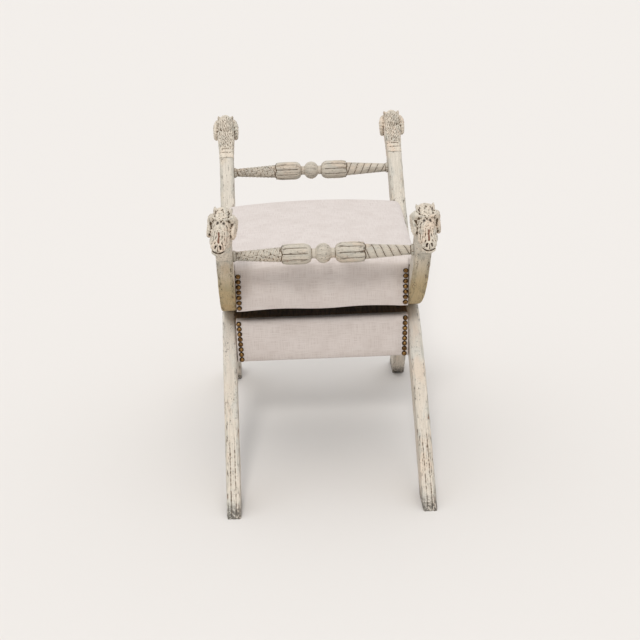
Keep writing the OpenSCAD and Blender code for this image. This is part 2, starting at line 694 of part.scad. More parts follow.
module apron_dowel_set() {
    color(bare_wood)
        for (x_side = [0, 1], y_side = [0, 1]) mirror([x_side, 0, 0]) mirror([0, y_side, 0]) {
            apron_side_pin(dowel_r, 0);
            apron_top_pin(dowel_r, 0);
        }
}
apron_panel_half_h = apron_h / 2 + panel_edge_t;
module on_apron() {
    translate([0, -apron_half_l - soft_gap, joint_h - apron_h / 2]) rotate([90, 0, 0]) children();
}
module apron_panel_near_piece() {
    color(linen_color) difference() {
        on_apron() crowned_panel(leg_in - soft_gap, apron_panel_half_h, apron_row_draw);
        apron_nail_shanks(fit_gap);
    }
}
module apron_dust_piece() {
    color(dust_color) translate([0, 0, apron_low - dust_t / 2 - soft_gap])
        cube([2 * (leg_in - soft_gap), 2 * (apron_half_l - soft_gap), dust_t], center = true);
}

// Domed nail, drawn with its head on the X-Y plane and its shank down -Z
dome_steps = 5;
module nail(long) {
    dome = [for (i = [0:dome_steps]) let (a = 90 * i / dome_steps) [nail_d / 2 * cos(a), nail_h * sin(a)]];
    rotate_extrude($fn = hull_fn) polygon(concat(dome, [[0, -long], [shank_r, -long], [shank_r, 0]]));
}
module shank(gap) {
    translate([0, 0, -shank_l - gap]) cylinder(r = shank_r + gap, h = shank_l + gap + nail_h, $fn = hull_fn);
}
end_row_l = 2 * (end_panel_half_h - panel_draw) - nail_d;
end_nail_count = floor(end_row_l / nail_pitch) + 1;
apron_row_l = 2 * (apron_panel_half_h - panel_draw) - nail_d;
apron_nail_count = floor(apron_row_l / apron_nail_pitch) + 1;
module end_nail_places() {
    for (i = [0:end_nail_count - 1], side = [-1, 1]) {
        row_y = (i - (end_nail_count - 1) / 2) * nail_pitch - end_row_drop;
        on_end_rail() translate([side * (arm_in - nail_inset), row_y, panel_edge_t]) children();
    }
}
module apron_nail_places() {
    for (i = [0:apron_nail_count - 1], side = [-1, 1]) {
        row_y = (i - (apron_nail_count - 1) / 2) * apron_nail_pitch;
        row_x = leg_in - nail_inset - apron_row_draw * (1 - i / (apron_nail_count - 1));
        on_apron() translate([side * row_x, row_y, panel_edge_t]) children();
    }
}
module end_nail_shanks(gap) { end_nail_places() shank(gap); }
module apron_nail_shanks(gap) { apron_nail_places() shank(gap); }

// The side rows follow the curve of the arms, just above the painted wood
side_shank_l = fillet_t * 0.6 + border_t;
side_row_rise = nail_d / 2 + arm_clear;
function side_nail_at(u) = arm_inner(u) + arm_normal(u) * side_row_rise;
side_row_top = hem_z - nail_d * 0.6;
function side_nail_row(u) =
    side_nail_at(u)[1] > side_row_top ? []
    : concat([side_nail_at(u)], side_nail_row(u + nail_pitch / norm(side_nail_at(u + 1) - side_nail_at(u))));
side_half_row = side_nail_row(0);
side_row = concat([for (i = [len(side_half_row) - 1:-1:1]) [-side_half_row[i][0], side_half_row[i][1]]],
                  side_half_row);
module side_nail_places() {
    for (p = side_row) translate([border_out, p[0], p[1]]) rotate([0, 90, 0]) children();
}
module side_nail_shanks(gap) {
    side_nail_places() translate([0, 0, -side_shank_l - gap])
        cylinder(r = shank_r + gap, h = side_shank_l + gap + nail_h, $fn = hull_fn);
}
module end_nails_near_set() { color(brass_color) end_nail_places() nail(shank_l); }
module apron_nails_near_set() { color(brass_color) apron_nail_places() nail(shank_l); }
module side_nails_right_set() { color(brass_color) side_nail_places() nail(side_shank_l); }

on_left() arm_near();  // arm_left_near
on_left() on_far() arm_near();  // arm_left_far
arm_near();  // arm_right_near
on_far() arm_near();  // arm_right_far
on_left() leg_near();  // leg_left_near
on_left() on_far() leg_near();  // leg_left_far
leg_near();  // leg_right_near
on_far() leg_near();  // leg_right_far
on_left() ram_head_near();  // ram_head_left_near
on_left() on_far() ram_head_near();  // ram_head_left_far
ram_head_near();  // ram_head_right_near
on_far() ram_head_near();  // ram_head_right_far
cross_rail_near_piece();  // cross_rail_near
on_far() cross_rail_near_piece();  // cross_rail_far
frame_tongue_set();  // frame_tongues
hub_dowel_set();  // hub_dowels
on_left() seat_rail_right_piece();  // seat_rail_left
seat_rail_right_piece();  // seat_rail_right
end_rail_near_piece();  // end_rail_near
on_far() end_rail_near_piece();  // end_rail_far
corner_block_set();  // corner_blocks
on_left() side_fillet_right_piece();  // side_fillet_left
side_fillet_right_piece();  // side_fillet_right
end_dowel_set();  // end_rail_dowels
seat_screw_set();  // seat_screws
webbing_cross_set();  // webbing_cross
webbing_long_set();  // webbing_long
hessian_piece();  // hessian_sheet
seat_pad_piece();  // seat_pad
seat_cover_piece();  // seat_cover
on_left() side_border_right_piece();  // side_border_left
side_border_right_piece();  // side_border_right
end_panel_near_piece();  // end_panel_near
on_far() end_panel_near_piece();  // end_panel_far
seat_dust_piece();  // seat_dust_cover
apron_board_near_piece();  // apron_board_near
on_far() apron_board_near_piece();  // apron_board_far
apron_top_piece();  // apron_top
apron_dowel_set();  // apron_dowels
apron_panel_near_piece();  // apron_panel_near
on_far() apron_panel_near_piece();  // apron_panel_far
apron_dust_piece();  // apron_dust_cover
end_nails_near_set();  // end_nails_near
on_far() end_nails_near_set();  // end_nails_far
apron_nails_near_set();  // apron_nails_near
on_far() apron_nails_near_set();  // apron_nails_far
on_left() side_nails_right_set();  // side_nails_left
side_nails_right_set();  // side_nails_right
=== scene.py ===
"""Painted curule bench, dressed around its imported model.

The side frames, rams' heads, turned cross rails, linen seat, apron and dust cloths are modelled here,
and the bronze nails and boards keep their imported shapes. X runs across the bench, Y along it
and Z up. Shape values are in millimetres and are turned into metres where a mesh is made.
"""
import math
from math import cos, pi, radians, sin, tau

import bmesh
import bpy
import numpy as np
from mathutils import Matrix, Vector
from mathutils.kdtree import KDTree


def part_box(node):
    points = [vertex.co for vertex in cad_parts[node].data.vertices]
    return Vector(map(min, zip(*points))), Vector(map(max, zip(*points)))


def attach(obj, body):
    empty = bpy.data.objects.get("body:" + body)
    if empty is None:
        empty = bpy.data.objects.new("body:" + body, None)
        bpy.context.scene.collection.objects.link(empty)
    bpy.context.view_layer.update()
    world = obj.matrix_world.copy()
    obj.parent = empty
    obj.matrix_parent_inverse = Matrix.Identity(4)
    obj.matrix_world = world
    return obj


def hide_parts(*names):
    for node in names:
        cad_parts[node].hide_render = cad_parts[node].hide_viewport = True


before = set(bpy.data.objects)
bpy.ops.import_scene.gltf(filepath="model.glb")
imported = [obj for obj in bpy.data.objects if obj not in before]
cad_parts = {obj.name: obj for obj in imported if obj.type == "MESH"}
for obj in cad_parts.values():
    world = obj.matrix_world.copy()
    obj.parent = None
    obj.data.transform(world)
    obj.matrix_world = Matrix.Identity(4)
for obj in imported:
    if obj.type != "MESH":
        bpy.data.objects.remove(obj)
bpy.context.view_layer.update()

MM = 0.001

# Side frames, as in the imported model
FRAME_OUT = 174.0
ARM_THICK = 27.0
LEG_THICK = 24.0
ARM_IN = FRAME_OUT - ARM_THICK
JOINT_Z = 258.0
JOINT_CUT = 2.5
ARM_REACH = 315.0
ARM_RISE = 169.0
ARM_DEPTH_LOW = 50.0
ARM_DEPTH_TOP = 44.0
ARM_STEPS = 26
LEG_REACH = 372.0
LEG_ROUND = 190.0
LEG_ROUND_IN = 150.0
LEG_DEPTH = 50.0
FOOT_LONG = 72.0
REED_TOP = 108.0
REED_FADE = 12.0
REEDS = 3
REED_CUT = 2.6
REED_GROOVE = 0.45
REED_STEPS = 48
LEG_STEPS = 34

# Seat and apron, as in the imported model
DECK_Z = 372.0
DECK_HALF = 184.0
BOARD_LEAN = radians(17.0)
LEAN_RUN = math.tan(BOARD_LEAN)
APRON_HALF = 118.0

# Radius of a softened arris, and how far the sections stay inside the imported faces
ARRIS = 3.4
SKIN = 0.2
# Gap between two pieces that meet
CLEAR = 0.05
LINEN_THICK = 1.8


def only(*pieces):
    """Selects these objects and nothing else, and makes the first one active."""
    bpy.ops.object.select_all(action="DESELECT")
    for piece in pieces:
        piece.select_set(True)
    bpy.context.view_layer.objects.active = pieces[0]


def apply_modifier(piece, kind, **settings):
    """Adds one modifier and applies it."""
    only(piece)
    modifier = piece.modifiers.new(kind.title(), kind)
    for name, value in settings.items():
        setattr(modifier, name, value)
    bpy.ops.object.modifier_apply(modifier=modifier.name)


def rows_of(items, field, wide=3, kind=float):
    """One field of a mesh's items, as an array of rows."""
    flat = np.empty(len(items) * wide, dtype=kind)
    items.foreach_get(field, flat)
    return flat.reshape(-1, wide)


def points_of(piece):
    """The vertices as an array of rows, in millimetres."""
    return rows_of(piece.data.vertices, "co") / MM


def set_points(piece, points):
    """Puts the vertices back from an array of rows in millimetres."""
    piece.data.vertices.foreach_set("co", (points * MM).ravel())
    piece.data.update()


def normals_of(piece):
    """Vertex normals as an array of rows."""
    return rows_of(piece.data.vertex_normals, "vector")


def eased(points, edges, turns):
    """Moves every point to the mean of its neighbours, some turns over."""
    count = len(points)
    degree = np.bincount(edges.ravel(), minlength=count).clip(min=1)[:, None]
    first, second = edges.T
    for _ in range(turns):
        total = np.stack([np.bincount(first, weights=column[second], minlength=count)
                          + np.bincount(second, weights=column[first], minlength=count)
                          for column in points.T], axis=1)
        points = 0.5 * points + 0.5 * total / degree
    return points


def keep_value(piece, name, values):
    """Stores one number, or one vector, for each vertex."""
    kind, field = ("FLOAT", "value") if values.ndim == 1 else ("FLOAT_VECTOR", "vector")
    store = piece.data.attributes.get(name) or piece.data.attributes.new(name, kind, "POINT")
    store.data.foreach_set(field, values.ravel())


def values_of(piece, name):
    """One stored attribute as an array of single numbers."""
    return rows_of(piece.data.attributes[name].data, "value", 1)[:, 0]


def mark_relief(piece, turns=14):
    """Stores how far each point stands over, or lies under, the smoothed surface, in millimetres."""
    points = points_of(piece)
    raised = points - eased(points, rows_of(piece.data.edges, "vertices", 2, np.int64), turns)
    keep_value(piece, "relief", (raised * normals_of(piece)).sum(axis=1))


def smooth_step(values, low, high):
    """0 below low, 1 above high and an even curve between them."""
    share = np.clip((np.asarray(values, dtype=float) - low) / (high - low), 0.0, 1.0)
    return share * share * (3.0 - 2.0 * share)


def ease(value, low, high):
    """The same curve for a single value."""
    return float(smooth_step(value, low, high))


def named(piece, name):
    """Gives an object and its mesh one name."""
    piece.name = name
    piece.data.name = name
    return piece


def new_grid(name, wide, long):
    """A flat grid from -1 to 1 each way, with the given numbers of faces."""
    bpy.ops.mesh.primitive_grid_add(x_subdivisions=wide, y_subdivisions=long, size=2.0)
    return named(bpy.context.active_object, name)


def finish_piece(piece, material, replaces):
    """Gives a piece its material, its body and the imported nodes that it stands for."""
    only(piece)
    bpy.ops.object.shade_smooth()
    piece.data.materials.clear()
    piece.data.materials.append(material)
    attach(piece, "root")
    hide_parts(*replaces)


def drawn_out(name, sections):
    """A closed form made by extruding one section and shaping each new end to the next section."""
    bpy.ops.mesh.primitive_circle_add(vertices=len(sections[0]), radius=1.0, fill_type="NGON")
    piece = named(bpy.context.active_object, name)
    bpy.ops.object.mode_set(mode="EDIT")
    bpy.ops.mesh.select_all(action="SELECT")
    shape = bmesh.from_edit_mesh(piece.data)
    for corner, place in zip(shape.verts, sections[0]):
        corner.co = Vector(place) * MM
    for before, after in zip(sections, sections[1:]):
        bpy.ops.mesh.extrude_region_move()
        shape = bmesh.from_edit_mesh(piece.data)
        tree = KDTree(len(before))
        for index, place in enumerate(before):
            tree.insert(Vector(place) * MM, index)
        tree.balance()
        for corner in [v for v in shape.verts if v.select]:
            corner.co = Vector(after[tree.find(corner.co)[1]]) * MM
    bpy.ops.mesh.select_all(action="SELECT")
    bpy.ops.mesh.normals_make_consistent(inside=False)
    bpy.ops.object.mode_set(mode="OBJECT")
    return piece


def mirror(piece, across, along):
    """Turns a piece over to the other side or end, with its faces still outwards."""
    piece.data.transform(Matrix.Diagonal((-1.0 if across else 1.0, -1.0 if along else 1.0, 1.0, 1.0)))
    if across != along:
        piece.data.flip_normals()


def copied(piece, name):
    """A copy with its own mesh."""
    only(piece)
    bpy.ops.object.duplicate(linked=False)
    return named(bpy.context.active_object, name)


# Curves of the side frames, for the near right quarter of the bench
ARM_LOW = JOINT_Z - JOINT_CUT
ARM_K = (ARM_RISE + JOINT_CUT) / ARM_REACH**2


def arm_frame(u):
    """Outer edge, inward normal and depth of the arm at a distance u from the centre, in (Y out, Z)."""
    slope = 2.0 * ARM_K * u
    size = math.hypot(1.0, slope)
    edge = np.array([u, ARM_LOW + ARM_K * u * u])
    normal = np.array([-slope, 1.0]) / size
    depth = ARM_DEPTH_LOW + (ARM_DEPTH_TOP - ARM_DEPTH_LOW) * u / ARM_REACH
    return edge, normal, depth


def arm_inner_z(y):
    """Height of the arm's inner edge at a distance y from the centre."""
    low, high = 0.0, ARM_REACH
    for _ in range(30):
        middle = (low + high) / 2
        edge, normal, depth = arm_frame(middle)
        if (edge + normal * depth)[0] < y:
            low = middle
        else:
            high = middle
    edge, normal, depth = arm_frame(high)
    return (edge + normal * depth)[1]


LEG_TOP = JOINT_Z + JOINT_CUT


def leg_height(u, top, round_size, reach):
    """Height of one edge of the leg at a distance u from the centre."""
    steep = math.sqrt((top + round_size) ** 2 - round_size**2) / reach
    return top + round_size - math.hypot(round_size, steep * u)


def rounded_section(width, depth, radius):
    """Corners of a rounded rectangle, as (across, deep) pairs, with deep 0 on the outer face."""
    corners = [(width / 2 - radius, radius, -90), (width / 2 - radius, depth - radius, 0),
               (-width / 2 + radius, depth - radius, 90), (-width / 2 + radius, radius, 180)]
    section = []
    for x, d, start in corners:
        for step in range(4):
            angle = radians(start + step * 30.0)
            section.append((x + radius * cos(angle), d + radius * sin(angle)))
    return section


def keep_grain(piece, path):
    """Stores (across, along, deep) for each vertex of a bar that follows a path of (y, z) places."""
    points = points_of(piece)
    path = np.array(path)
    steps = np.linalg.norm(np.diff(path, axis=0), axis=1)
    lengths = np.concatenate([[0.0], np.cumsum(steps)])
    best = np.full(len(points), 1e9)
    along = np.zeros(len(points))
    deep = np.zeros(len(points))
    flat = points[:, 1:3]
    for start, end, length, step in zip(path, path[1:], lengths, steps):
        run = (end - start) / step
        share = np.clip(((flat - start) @ run) / step, 0.0, 1.0)
        offset = flat - (start + share[:, None] * (end - start))
        away = np.linalg.norm(offset, axis=1)
        nearer = away < best
        best = np.where(nearer, away, best)
        along = np.where(nearer, length + share * step, along)
        deep = np.where(nearer, offset @ np.array([-run[1], run[0]]), deep)
    keep_value(piece, "grain", np.stack([points[:, 0], along, deep], axis=1) * MM)


def clouds(name, size):
    """A soft noise texture for a Displace modifier."""
    texture = bpy.data.textures.new(name, "CLOUDS")
    texture.noise_scale = size * MM
    texture.noise_depth = 2
    return texture


HAND_WORK = clouds("hand_work", 26.0)
FINE_WORK = clouds("fine_work", 5.0)
GRIT = clouds("grit", 2.2)
ARM_VOXEL = 1.7
LEG_VOXEL = 1.3
HEAD_VOXEL = 0.85


def one_skin(piece, voxel, soften):
    """Joins a form into one skin and softens it."""
    apply_modifier(piece, "REMESH", mode="VOXEL", voxel_size=voxel * MM, adaptivity=0.0)
    apply_modifier(piece, "SMOOTH", factor=0.5, iterations=soften)


def roughen(piece, texture, strength):
    """Makes a face slightly uneven."""
    apply_modifier(piece, "DISPLACE", texture=texture, texture_coords="LOCAL", strength=strength * MM,
                   mid_level=0.5)


def aged_bar(piece, voxel, soften, path, top=None):
    """Turns a clean bar into old carved wood, and stores its grain and relief."""
    one_skin(piece, voxel, soften)
    roughen(piece, HAND_WORK, 0.9)
    roughen(piece, FINE_WORK, 0.5)
    if top:
        points = points_of(piece)
        points[:, 2] = np.clip(points[:, 2], 0.0, top)
        set_points(piece, points)
    keep_grain(piece, path)
    mark_relief(piece)
    return piece


def make_arm():
    """Near right arm: a curved bar with softened arrises."""
    sections = []
    path = []
    for i in range(ARM_STEPS + 1):
        edge, normal, depth = arm_frame(ARM_REACH * i / ARM_STEPS)
        ring = []
        for across, deep in rounded_section(ARM_THICK - 2 * SKIN, depth - 2 * SKIN, ARRIS):
            place = edge + normal * (deep + SKIN)
            place[1] = max(place[1], JOINT_Z + CLEAR)
            ring.append((FRAME_OUT - ARM_THICK / 2 + across, -place[0], place[1]))
        sections.append(ring)
        middle = edge + normal * depth / 2
        path.append((-middle[0], middle[1]))
    return aged_bar(drawn_out("arm_right_near", sections), ARM_VOXEL, 3, path)


def make_leg():
    """Near right leg: a splayed bar with three reeds worked on its lower outer face."""
    sections = []
    path = []
    half = LEG_THICK / 2
    inner_reach = LEG_REACH - FOOT_LONG
    for i in range(LEG_STEPS + 1):
        outer_u = LEG_REACH * i / LEG_STEPS
        inner_u = inner_reach * i / LEG_STEPS
        outer_z = leg_height(outer_u, LEG_TOP, LEG_ROUND, LEG_REACH)
        outer = np.array([outer_u, min(outer_z, JOINT_Z - CLEAR)])
        inner = np.array([inner_u, leg_height(inner_u, LEG_TOP - LEG_DEPTH, LEG_ROUND_IN, inner_reach)])
        depth = np.linalg.norm(inner - outer)
        inward = (inner - outer) / depth
        reeding = REED_CUT * ease(outer[1], REED_TOP, REED_TOP - REED_FADE)
        ring = []
        for k in range(REED_STEPS + 1):
            x = (k / REED_STEPS - 0.5) * (LEG_THICK - 2 * SKIN)
            edge_drop = max(0.0, abs(x) - (half - ARRIS)) ** 2 / ARRIS
            wave = abs(sin(pi * REEDS * (x / LEG_THICK + 0.5)))
            ring.append((x, edge_drop * 0.75 + reeding * max(0.0, 1.0 - wave / REED_GROOVE) ** 0.8))
        ring += [(half - SKIN, depth * 0.35), (half - SKIN, depth * 0.65), (half - SKIN, depth - 3.0),
                 (half - 3.0, depth - SKIN)]
        ring += [(-x, d) for x, d in reversed(ring[-4:])]
        places = [(x, outer + inward * d) for x, d in ring]
        sections.append([(FRAME_OUT - half + x, -place[0], max(place[1], 0.0)) for x, place in places])
        middle = (outer + inner) / 2
        path.append((-middle[0], middle[1]))
    return aged_bar(drawn_out("leg_right_near", sections), LEG_VOXEL, 2, path, top=JOINT_Z)


# Turned cross rail
RAIL_Y = -283.2
RAIL_Z = 425.0
BEAD_R = 16.4
BEAD_HALF = 12.5
BEAD_SPREAD = 14.4
RAIL_NECK_R = 8.2
RAIL_NECK = 7.0
BULB_R = 16.5
BULB_LONG = 47.0
TAPER_R = 12.3
TAPER_END_R = 7.4
COLLAR_R = 9.6
COLLAR_LONG = 5.0
BULB_START = BEAD_HALF + RAIL_NECK
BULB_END = BULB_START + BULB_LONG
RAIL_END = ARM_IN + 0.3
RAIL_SIDES = 150
LEAVES = 5
FACING = radians(-74.0)
ROPE_PITCH = 26.0


def dip(value, width):
    """1 where a value is zero, falling off evenly on both sides."""
    return math.exp(-((value / width) ** 2))


def bulb_radius(reach, angle):
    """Radius of a leaf-carved bulb: slit leaves side by side, with rounded tips at the outer end."""
    share = (reach - BULB_START) / BULB_LONG
    nose = math.sqrt(max(0.0, 1.0 - max(0.0, 1.0 - share / 0.26) ** 2))
    body = RAIL_NECK_R + (BULB_R - RAIL_NECK_R) * nose
    turn = (angle - FACING) * LEAVES / 2.0
    slit = dip(sin(turn), 0.065)
    edge_cut = dip(cos(turn), 0.09)
    tip = BULB_END + 2.4 * abs(sin(turn)) ** 0.7 - 1.4
    length = ease(reach, BULB_START + 4.0, BULB_START + 9.0)
    vein = dip(sin(turn * 2.0 + 0.35), 0.12) * ease(reach, BULB_START + 12.0, BULB_START + 24.0)
    cut = length * (2.7 * slit + 1.6 * edge_cut + 0.7 * vein)
    over = ease(reach, tip - 0.7, tip + 0.5)
    swell = 0.5 * sin(pi * min(1.0, share)) - 0.9 * smooth_step(share, 0.8, 1.0)
    return (body + swell - cut) * (1.0 - over) + (TAPER_R + 0.1) * over


def rail_radius(x, angle):
    """Radius of the rail at a distance x from its middle and an angle about its axis."""
    reach = abs(x)
    if reach < BEAD_HALF:
        ball = BEAD_R * math.sqrt(1.0 - (reach / BEAD_SPREAD) ** 2)
        return max(RAIL_NECK_R, ball - 0.6 * dip(sin(angle * 6.0), 0.2))
    if reach < BULB_START:
        return RAIL_NECK_R
    if reach < BULB_END + 3.0:
        return bulb_radius(reach, angle)
    if reach < ARM_IN - COLLAR_LONG:
        share = (reach - BULB_END) / (ARM_IN - COLLAR_LONG - BULB_END)
        body = TAPER_R + (TAPER_END_R - TAPER_R) * share
        if x > 0:
            return body + 0.35 - 1.4 * dip(sin(angle + reach * tau / ROPE_PITCH), 0.13)
        leaf = dip(sin(angle * 2.5 + 0.5 * sin(reach * 0.28) + 0.4), 0.13)
        cross = dip(sin(reach * 0.30 + 0.8 * sin(angle * 2.0)), 0.12)
        return body - 0.9 * leaf - 0.6 * cross + 0.3 * sin(reach * 0.9 + angle * 3.0)
    if reach < ARM_IN + 0.2:
        share = min(1.0, (reach - ARM_IN + COLLAR_LONG) / 6.5)
        return TAPER_END_R + (COLLAR_R - TAPER_END_R) * sin(pi * share) ** 0.6
    return TAPER_END_R


def make_rail():
    """Near cross rail, turned about X, with leaf-carved bulbs, a ribbed bead and roped tapers."""
    places = [-RAIL_END]
    x = places[0]
    while x < RAIL_END:
        reach = abs(x)
        fine = reach < BULB_END + 4.0 or reach > ARM_IN - COLLAR_LONG - 2.0
        x += 0.7 if fine else 1.0
        places.append(min(x, RAIL_END))
    sections = []
    for x in places:
        ring = []
        for k in range(RAIL_SIDES):
            angle = tau * k / RAIL_SIDES
            radius = rail_radius(x, angle)
            ring.append((x, RAIL_Y + radius * sin(angle), RAIL_Z + radius * cos(angle)))
        sections.append(ring)
    piece = drawn_out("cross_rail_near", sections)
    roughen(piece, FINE_WORK, 0.8)
    points = points_of(piece)
    angle = np.arctan2(points[:, 1] - RAIL_Y, points[:, 2] - RAIL_Z)
    grain = np.stack([angle * 12.0, points[:, 0], points[:, 2] - RAIL_Z], axis=1)
    keep_value(piece, "grain", grain * MM)
    mark_relief(piece, turns=16)
    reach = np.abs(points[:, 0])
    bare = smooth_step(reach, BEAD_HALF - 3.0, BEAD_HALF)
    bare *= 1.0 - smooth_step(reach, BULB_START, BULB_START + 4.0)
    keep_value(piece, "relief", values_of(piece, "relief") * (1.0 - 0.75 * bare))
    return piece


# Carved ram's head. Its own axes: x across, f along the face, h up over the face.
edge, normal, depth = arm_frame(ARM_REACH)
HEAD_JOINT = edge + normal * depth / 2
NECK_LEAN = math.atan2(2.0 * ARM_K * ARM_REACH, 1.0)
NECK_LONG = 76.0
HEAD_BACK = 3.8
HEAD_TURN = pi / 2 - NECK_LEAN
HEAD_X = FRAME_OUT - ARM_THICK / 2


def head_place(x, f, h):
    """From the head's own axes to the bench's, for one place or for arrays."""
    y_local = -HEAD_BACK - f
    z_local = NECK_LONG + h
    return (HEAD_X + x,
            -HEAD_JOINT[0] + y_local * cos(HEAD_TURN) - z_local * sin(HEAD_TURN),
            HEAD_JOINT[1] + y_local * sin(HEAD_TURN) + z_local * cos(HEAD_TURN))


def head_axes(points):
    """From the bench's axes back to the head's own (x, f, h)."""
    y = points[:, 1] + HEAD_JOINT[0]
    z = points[:, 2] - HEAD_JOINT[1]
    y_local = y * cos(HEAD_TURN) + z * sin(HEAD_TURN)
    z_local = -y * sin(HEAD_TURN) + z * cos(HEAD_TURN)
    return points[:, 0] - HEAD_X, -HEAD_BACK - y_local, z_local - NECK_LONG


def add_lump(at, size, tilt=0.0):
    """One carved lump: an ellipsoid of radii (x, f, h), tipped by tilt about the x axis."""
    bpy.ops.mesh.primitive_uv_sphere_add(segments=28, ring_count=18, radius=1.0)
    lump = bpy.context.active_object
    lump.data.transform(Matrix.Diagonal((size[0], size[1], size[2], 1.0)))
    lump.data.transform(Matrix.Rotation(radians(tilt), 4, "X"))
    for corner in lump.data.vertices:
        x, f, h = corner.co
        corner.co = Vector(head_place(at[0] + x, at[1] + f, at[2] + h)) * MM
    lump.data.update()
    return lump


HORN_STEPS = 120
HORN_START = 100.0
HORN_TURN = 405.0
HORN_RIDGES = 21
HORN_SIDES = 14


def horn_sections():
    """Rings of the right horn, ridged across and curling back, down and forward past the cheek."""
    rings = []
    for i in range(HORN_STEPS + 1):
        t = i / HORN_STEPS
        a = radians(HORN_START + HORN_TURN * t)
        reach = 16.5 * (1.0 - 0.56 * t)
        lateral = 14.0 + 5.6 * ease(t, 0.0, 0.22) - 1.0 * ease(t, 0.3, 0.6) + 1.4 * ease(t, 0.7, 1.0)
        thick = 6.8 * (1.0 - 0.60 * t) * (1.0 + 0.11 * sin(t * tau * HORN_RIDGES))
        if t > 0.97:
            thick *= 0.6
        ring = []
        for k in range(HORN_SIDES):
            b = tau * k / HORN_SIDES
            far = reach + thick * cos(b)
            side = thick * 0.82 * sin(b)
            ring.append(head_place(lateral + side, 6.0 + far * cos(a), -2.0 + far * sin(a)))
        rings.append(ring)
    return rings


def ear_sections(side):
    """Rings of one small pointed ear."""
    rings = []
    for i in range(10):
        t = i / 9
        size = 4.4 * (1.0 - t) ** 0.75 * (0.75 + 0.9 * t) + 0.35
        x, f, h = side * (9.5 + 4.2 * t), -7.0 - 15.5 * t, 11.5 + 5.0 * t
        turns = [tau * k / 12 for k in range(12)]
        rings.append([head_place(x + size * cos(b), f, h + size * 0.75 * sin(b)) for b in turns])
    return rings


def neck_sections():
    """Rings from the joint on the arm up to the skull."""
    rings = []
    for i in range(15):
        t = i / 14
        width = ARM_THICK + (33.0 - ARM_THICK) * ease(t, 0.1, 0.9)
        deep = ARM_DEPTH_TOP - 2 * SKIN - 6.0 * ease(t, 0.2, 1.0)
        front = ARM_DEPTH_TOP / 2 - HEAD_BACK + 2.0 * t
        rise = -NECK_LONG + CLEAR + (NECK_LONG + 4.0) * t
        outline = rounded_section(width - 2 * SKIN, deep, ARRIS + 8.0 * ease(t, 0.15, 0.8))
        rings.append([head_place(across, front - d, rise) for across, d in outline])
    return rings


# Lumps of the head: (x, f, h), radii and perhaps a tilt. Those off the middle are mirrored.
LUMPS = (
    ((0, 0, 0), (17, 21.5, 21)), ((0, -8, 11), (12.5, 10.5, 9.5)), ((0, 8, 6.5), (14.5, 14, 12)),
    ((0, 20, 3), (13.5, 14, 11), -6), ((0, 31, 0), (13, 13, 10), -8), ((0, 41, -3), (12.2, 10.5, 9), -8),
    ((0, 45, -9.5), (11.2, 8.6, 4.8)), ((0, 24, -11), (13, 20, 9)), ((11, 10, -4), (7, 15, 11)),
    ((9, 27, -5), (6.6, 15, 8.5)), ((6.2, 3.2, 19.2), (6.2, 3.6, 3)), ((5, 8.4, 16.4), (3.5, 3.5, 3.5)),
    ((6.5, 43, 0), (5.4, 6, 5.4)), ((0, -4, 19), (5.5, 4.5, 4)), ((6.2, -4, 16.5), (4.8, 4.5, 4)),
    ((3.8, -11, 16.5), (5, 4.5, 4)), ((0, -17, 2), (14, 8.5, 19)),
)


def stroke(points, normals, line, width, depth):
    """Presses a groove along a line of head places, and gives how near each point is to it."""
    line = [np.array(head_place(*place)) for place in line]
    away = np.full(len(points), 1e9)
    if len(line) == 1:
        away = np.linalg.norm(points - line[0], axis=1)
    for start, end in zip(line, line[1:]):
        run = end - start
        share = np.clip(((points - start) @ run) / (run @ run), 0.0, 1.0)
        away = np.minimum(away, np.linalg.norm(points - (start + share[:, None] * run), axis=1))
    near = np.exp(-(away / width) ** 2)
    return points - normals * (depth * near)[:, None], near


def on_side(line, side):
    """A line of head places, mirrored for the left side."""
    return [(side * x, f, h) for x, f, h in line]


# Carving strokes: (line, width, depth, dark stain that is partly painted shade, red stain), those of one
# side and the middle ones
EYE_RIM = [(5.4 + 5.0 * cos(pi * i / 8), 9.0 + 5.0 * sin(pi * i / 8), 19.2) for i in range(17)]
SIDE_STROKES = (
    (EYE_RIM, 1.3, 2.0, 0.5, 0),
    ([(4.6, 10, 19.2), (6.2, 10.6, 18.8)], 3.0, 3.2, 1, 0),
    ([(8.5, 10.5, 17.5), (12.5, 13.5, 12)], 1.2, 2.0, 0.7, 0),
    ([(0.8, 4, 22), (6, 0.2, 22), (12.5, 4, 16.5), (15, 10, 9)], 1.0, 1.7, 0.5, 0),
    ([(3.4, 44, 5), (4.6, 47.5, 2)], 1.7, 3.0, 0.9, 0),
    ([(5, 38, 6.5), (8.5, 43.5, 4), (8.5, 48.5, 0)], 0.9, 1.2, 0.3, 0),
    ([(0, 53, -5.2), (6, 51, -5.2), (10.2, 45, -6), (12.6, 34, -7)], 1.5, 2.8, 0.9, 0),
    ([(4.2, 21, 14), (5.5, 36, 7)], 1.0, 1.2, 0.2, 0.3),
    ([(8, 22, 11.5), (10.5, 37, 4)], 0.9, 1.0, 0.2, 0),
    ([(11, 14, 10), (13, 24, 5), (13, 33, 0)], 1.1, 1.5, 0.35, 0),
    ([(15.5, 14, 4), (16.5, 21, -2), (14.5, 27, -8)], 1.2, 1.8, 0.5, 0),
    ([(15.5, -2, 11), (18, 5, 8), (18, 14, 3), (17, 20, -4)], 1.3, 2.0, 0.4, 0),
    ([(10.5, -9, 15.5), (13.2, -19, 18.5)], 1.2, 1.8, 0.7, 0),
    ([(1.5, -7.5, 23), (4, -7, 23), (7.5, -9, 21), (11, -8, 17)], 1.0, 1.6, 0.5, 0),
    ([(4, -1.5, 22.5), (3.8, -7, 22)], 0.9, 1.6, 0.5, 0),
    ([(11, -1, 18), (11, -7, 18)], 1.0, 1.8, 0.6, 0),
)
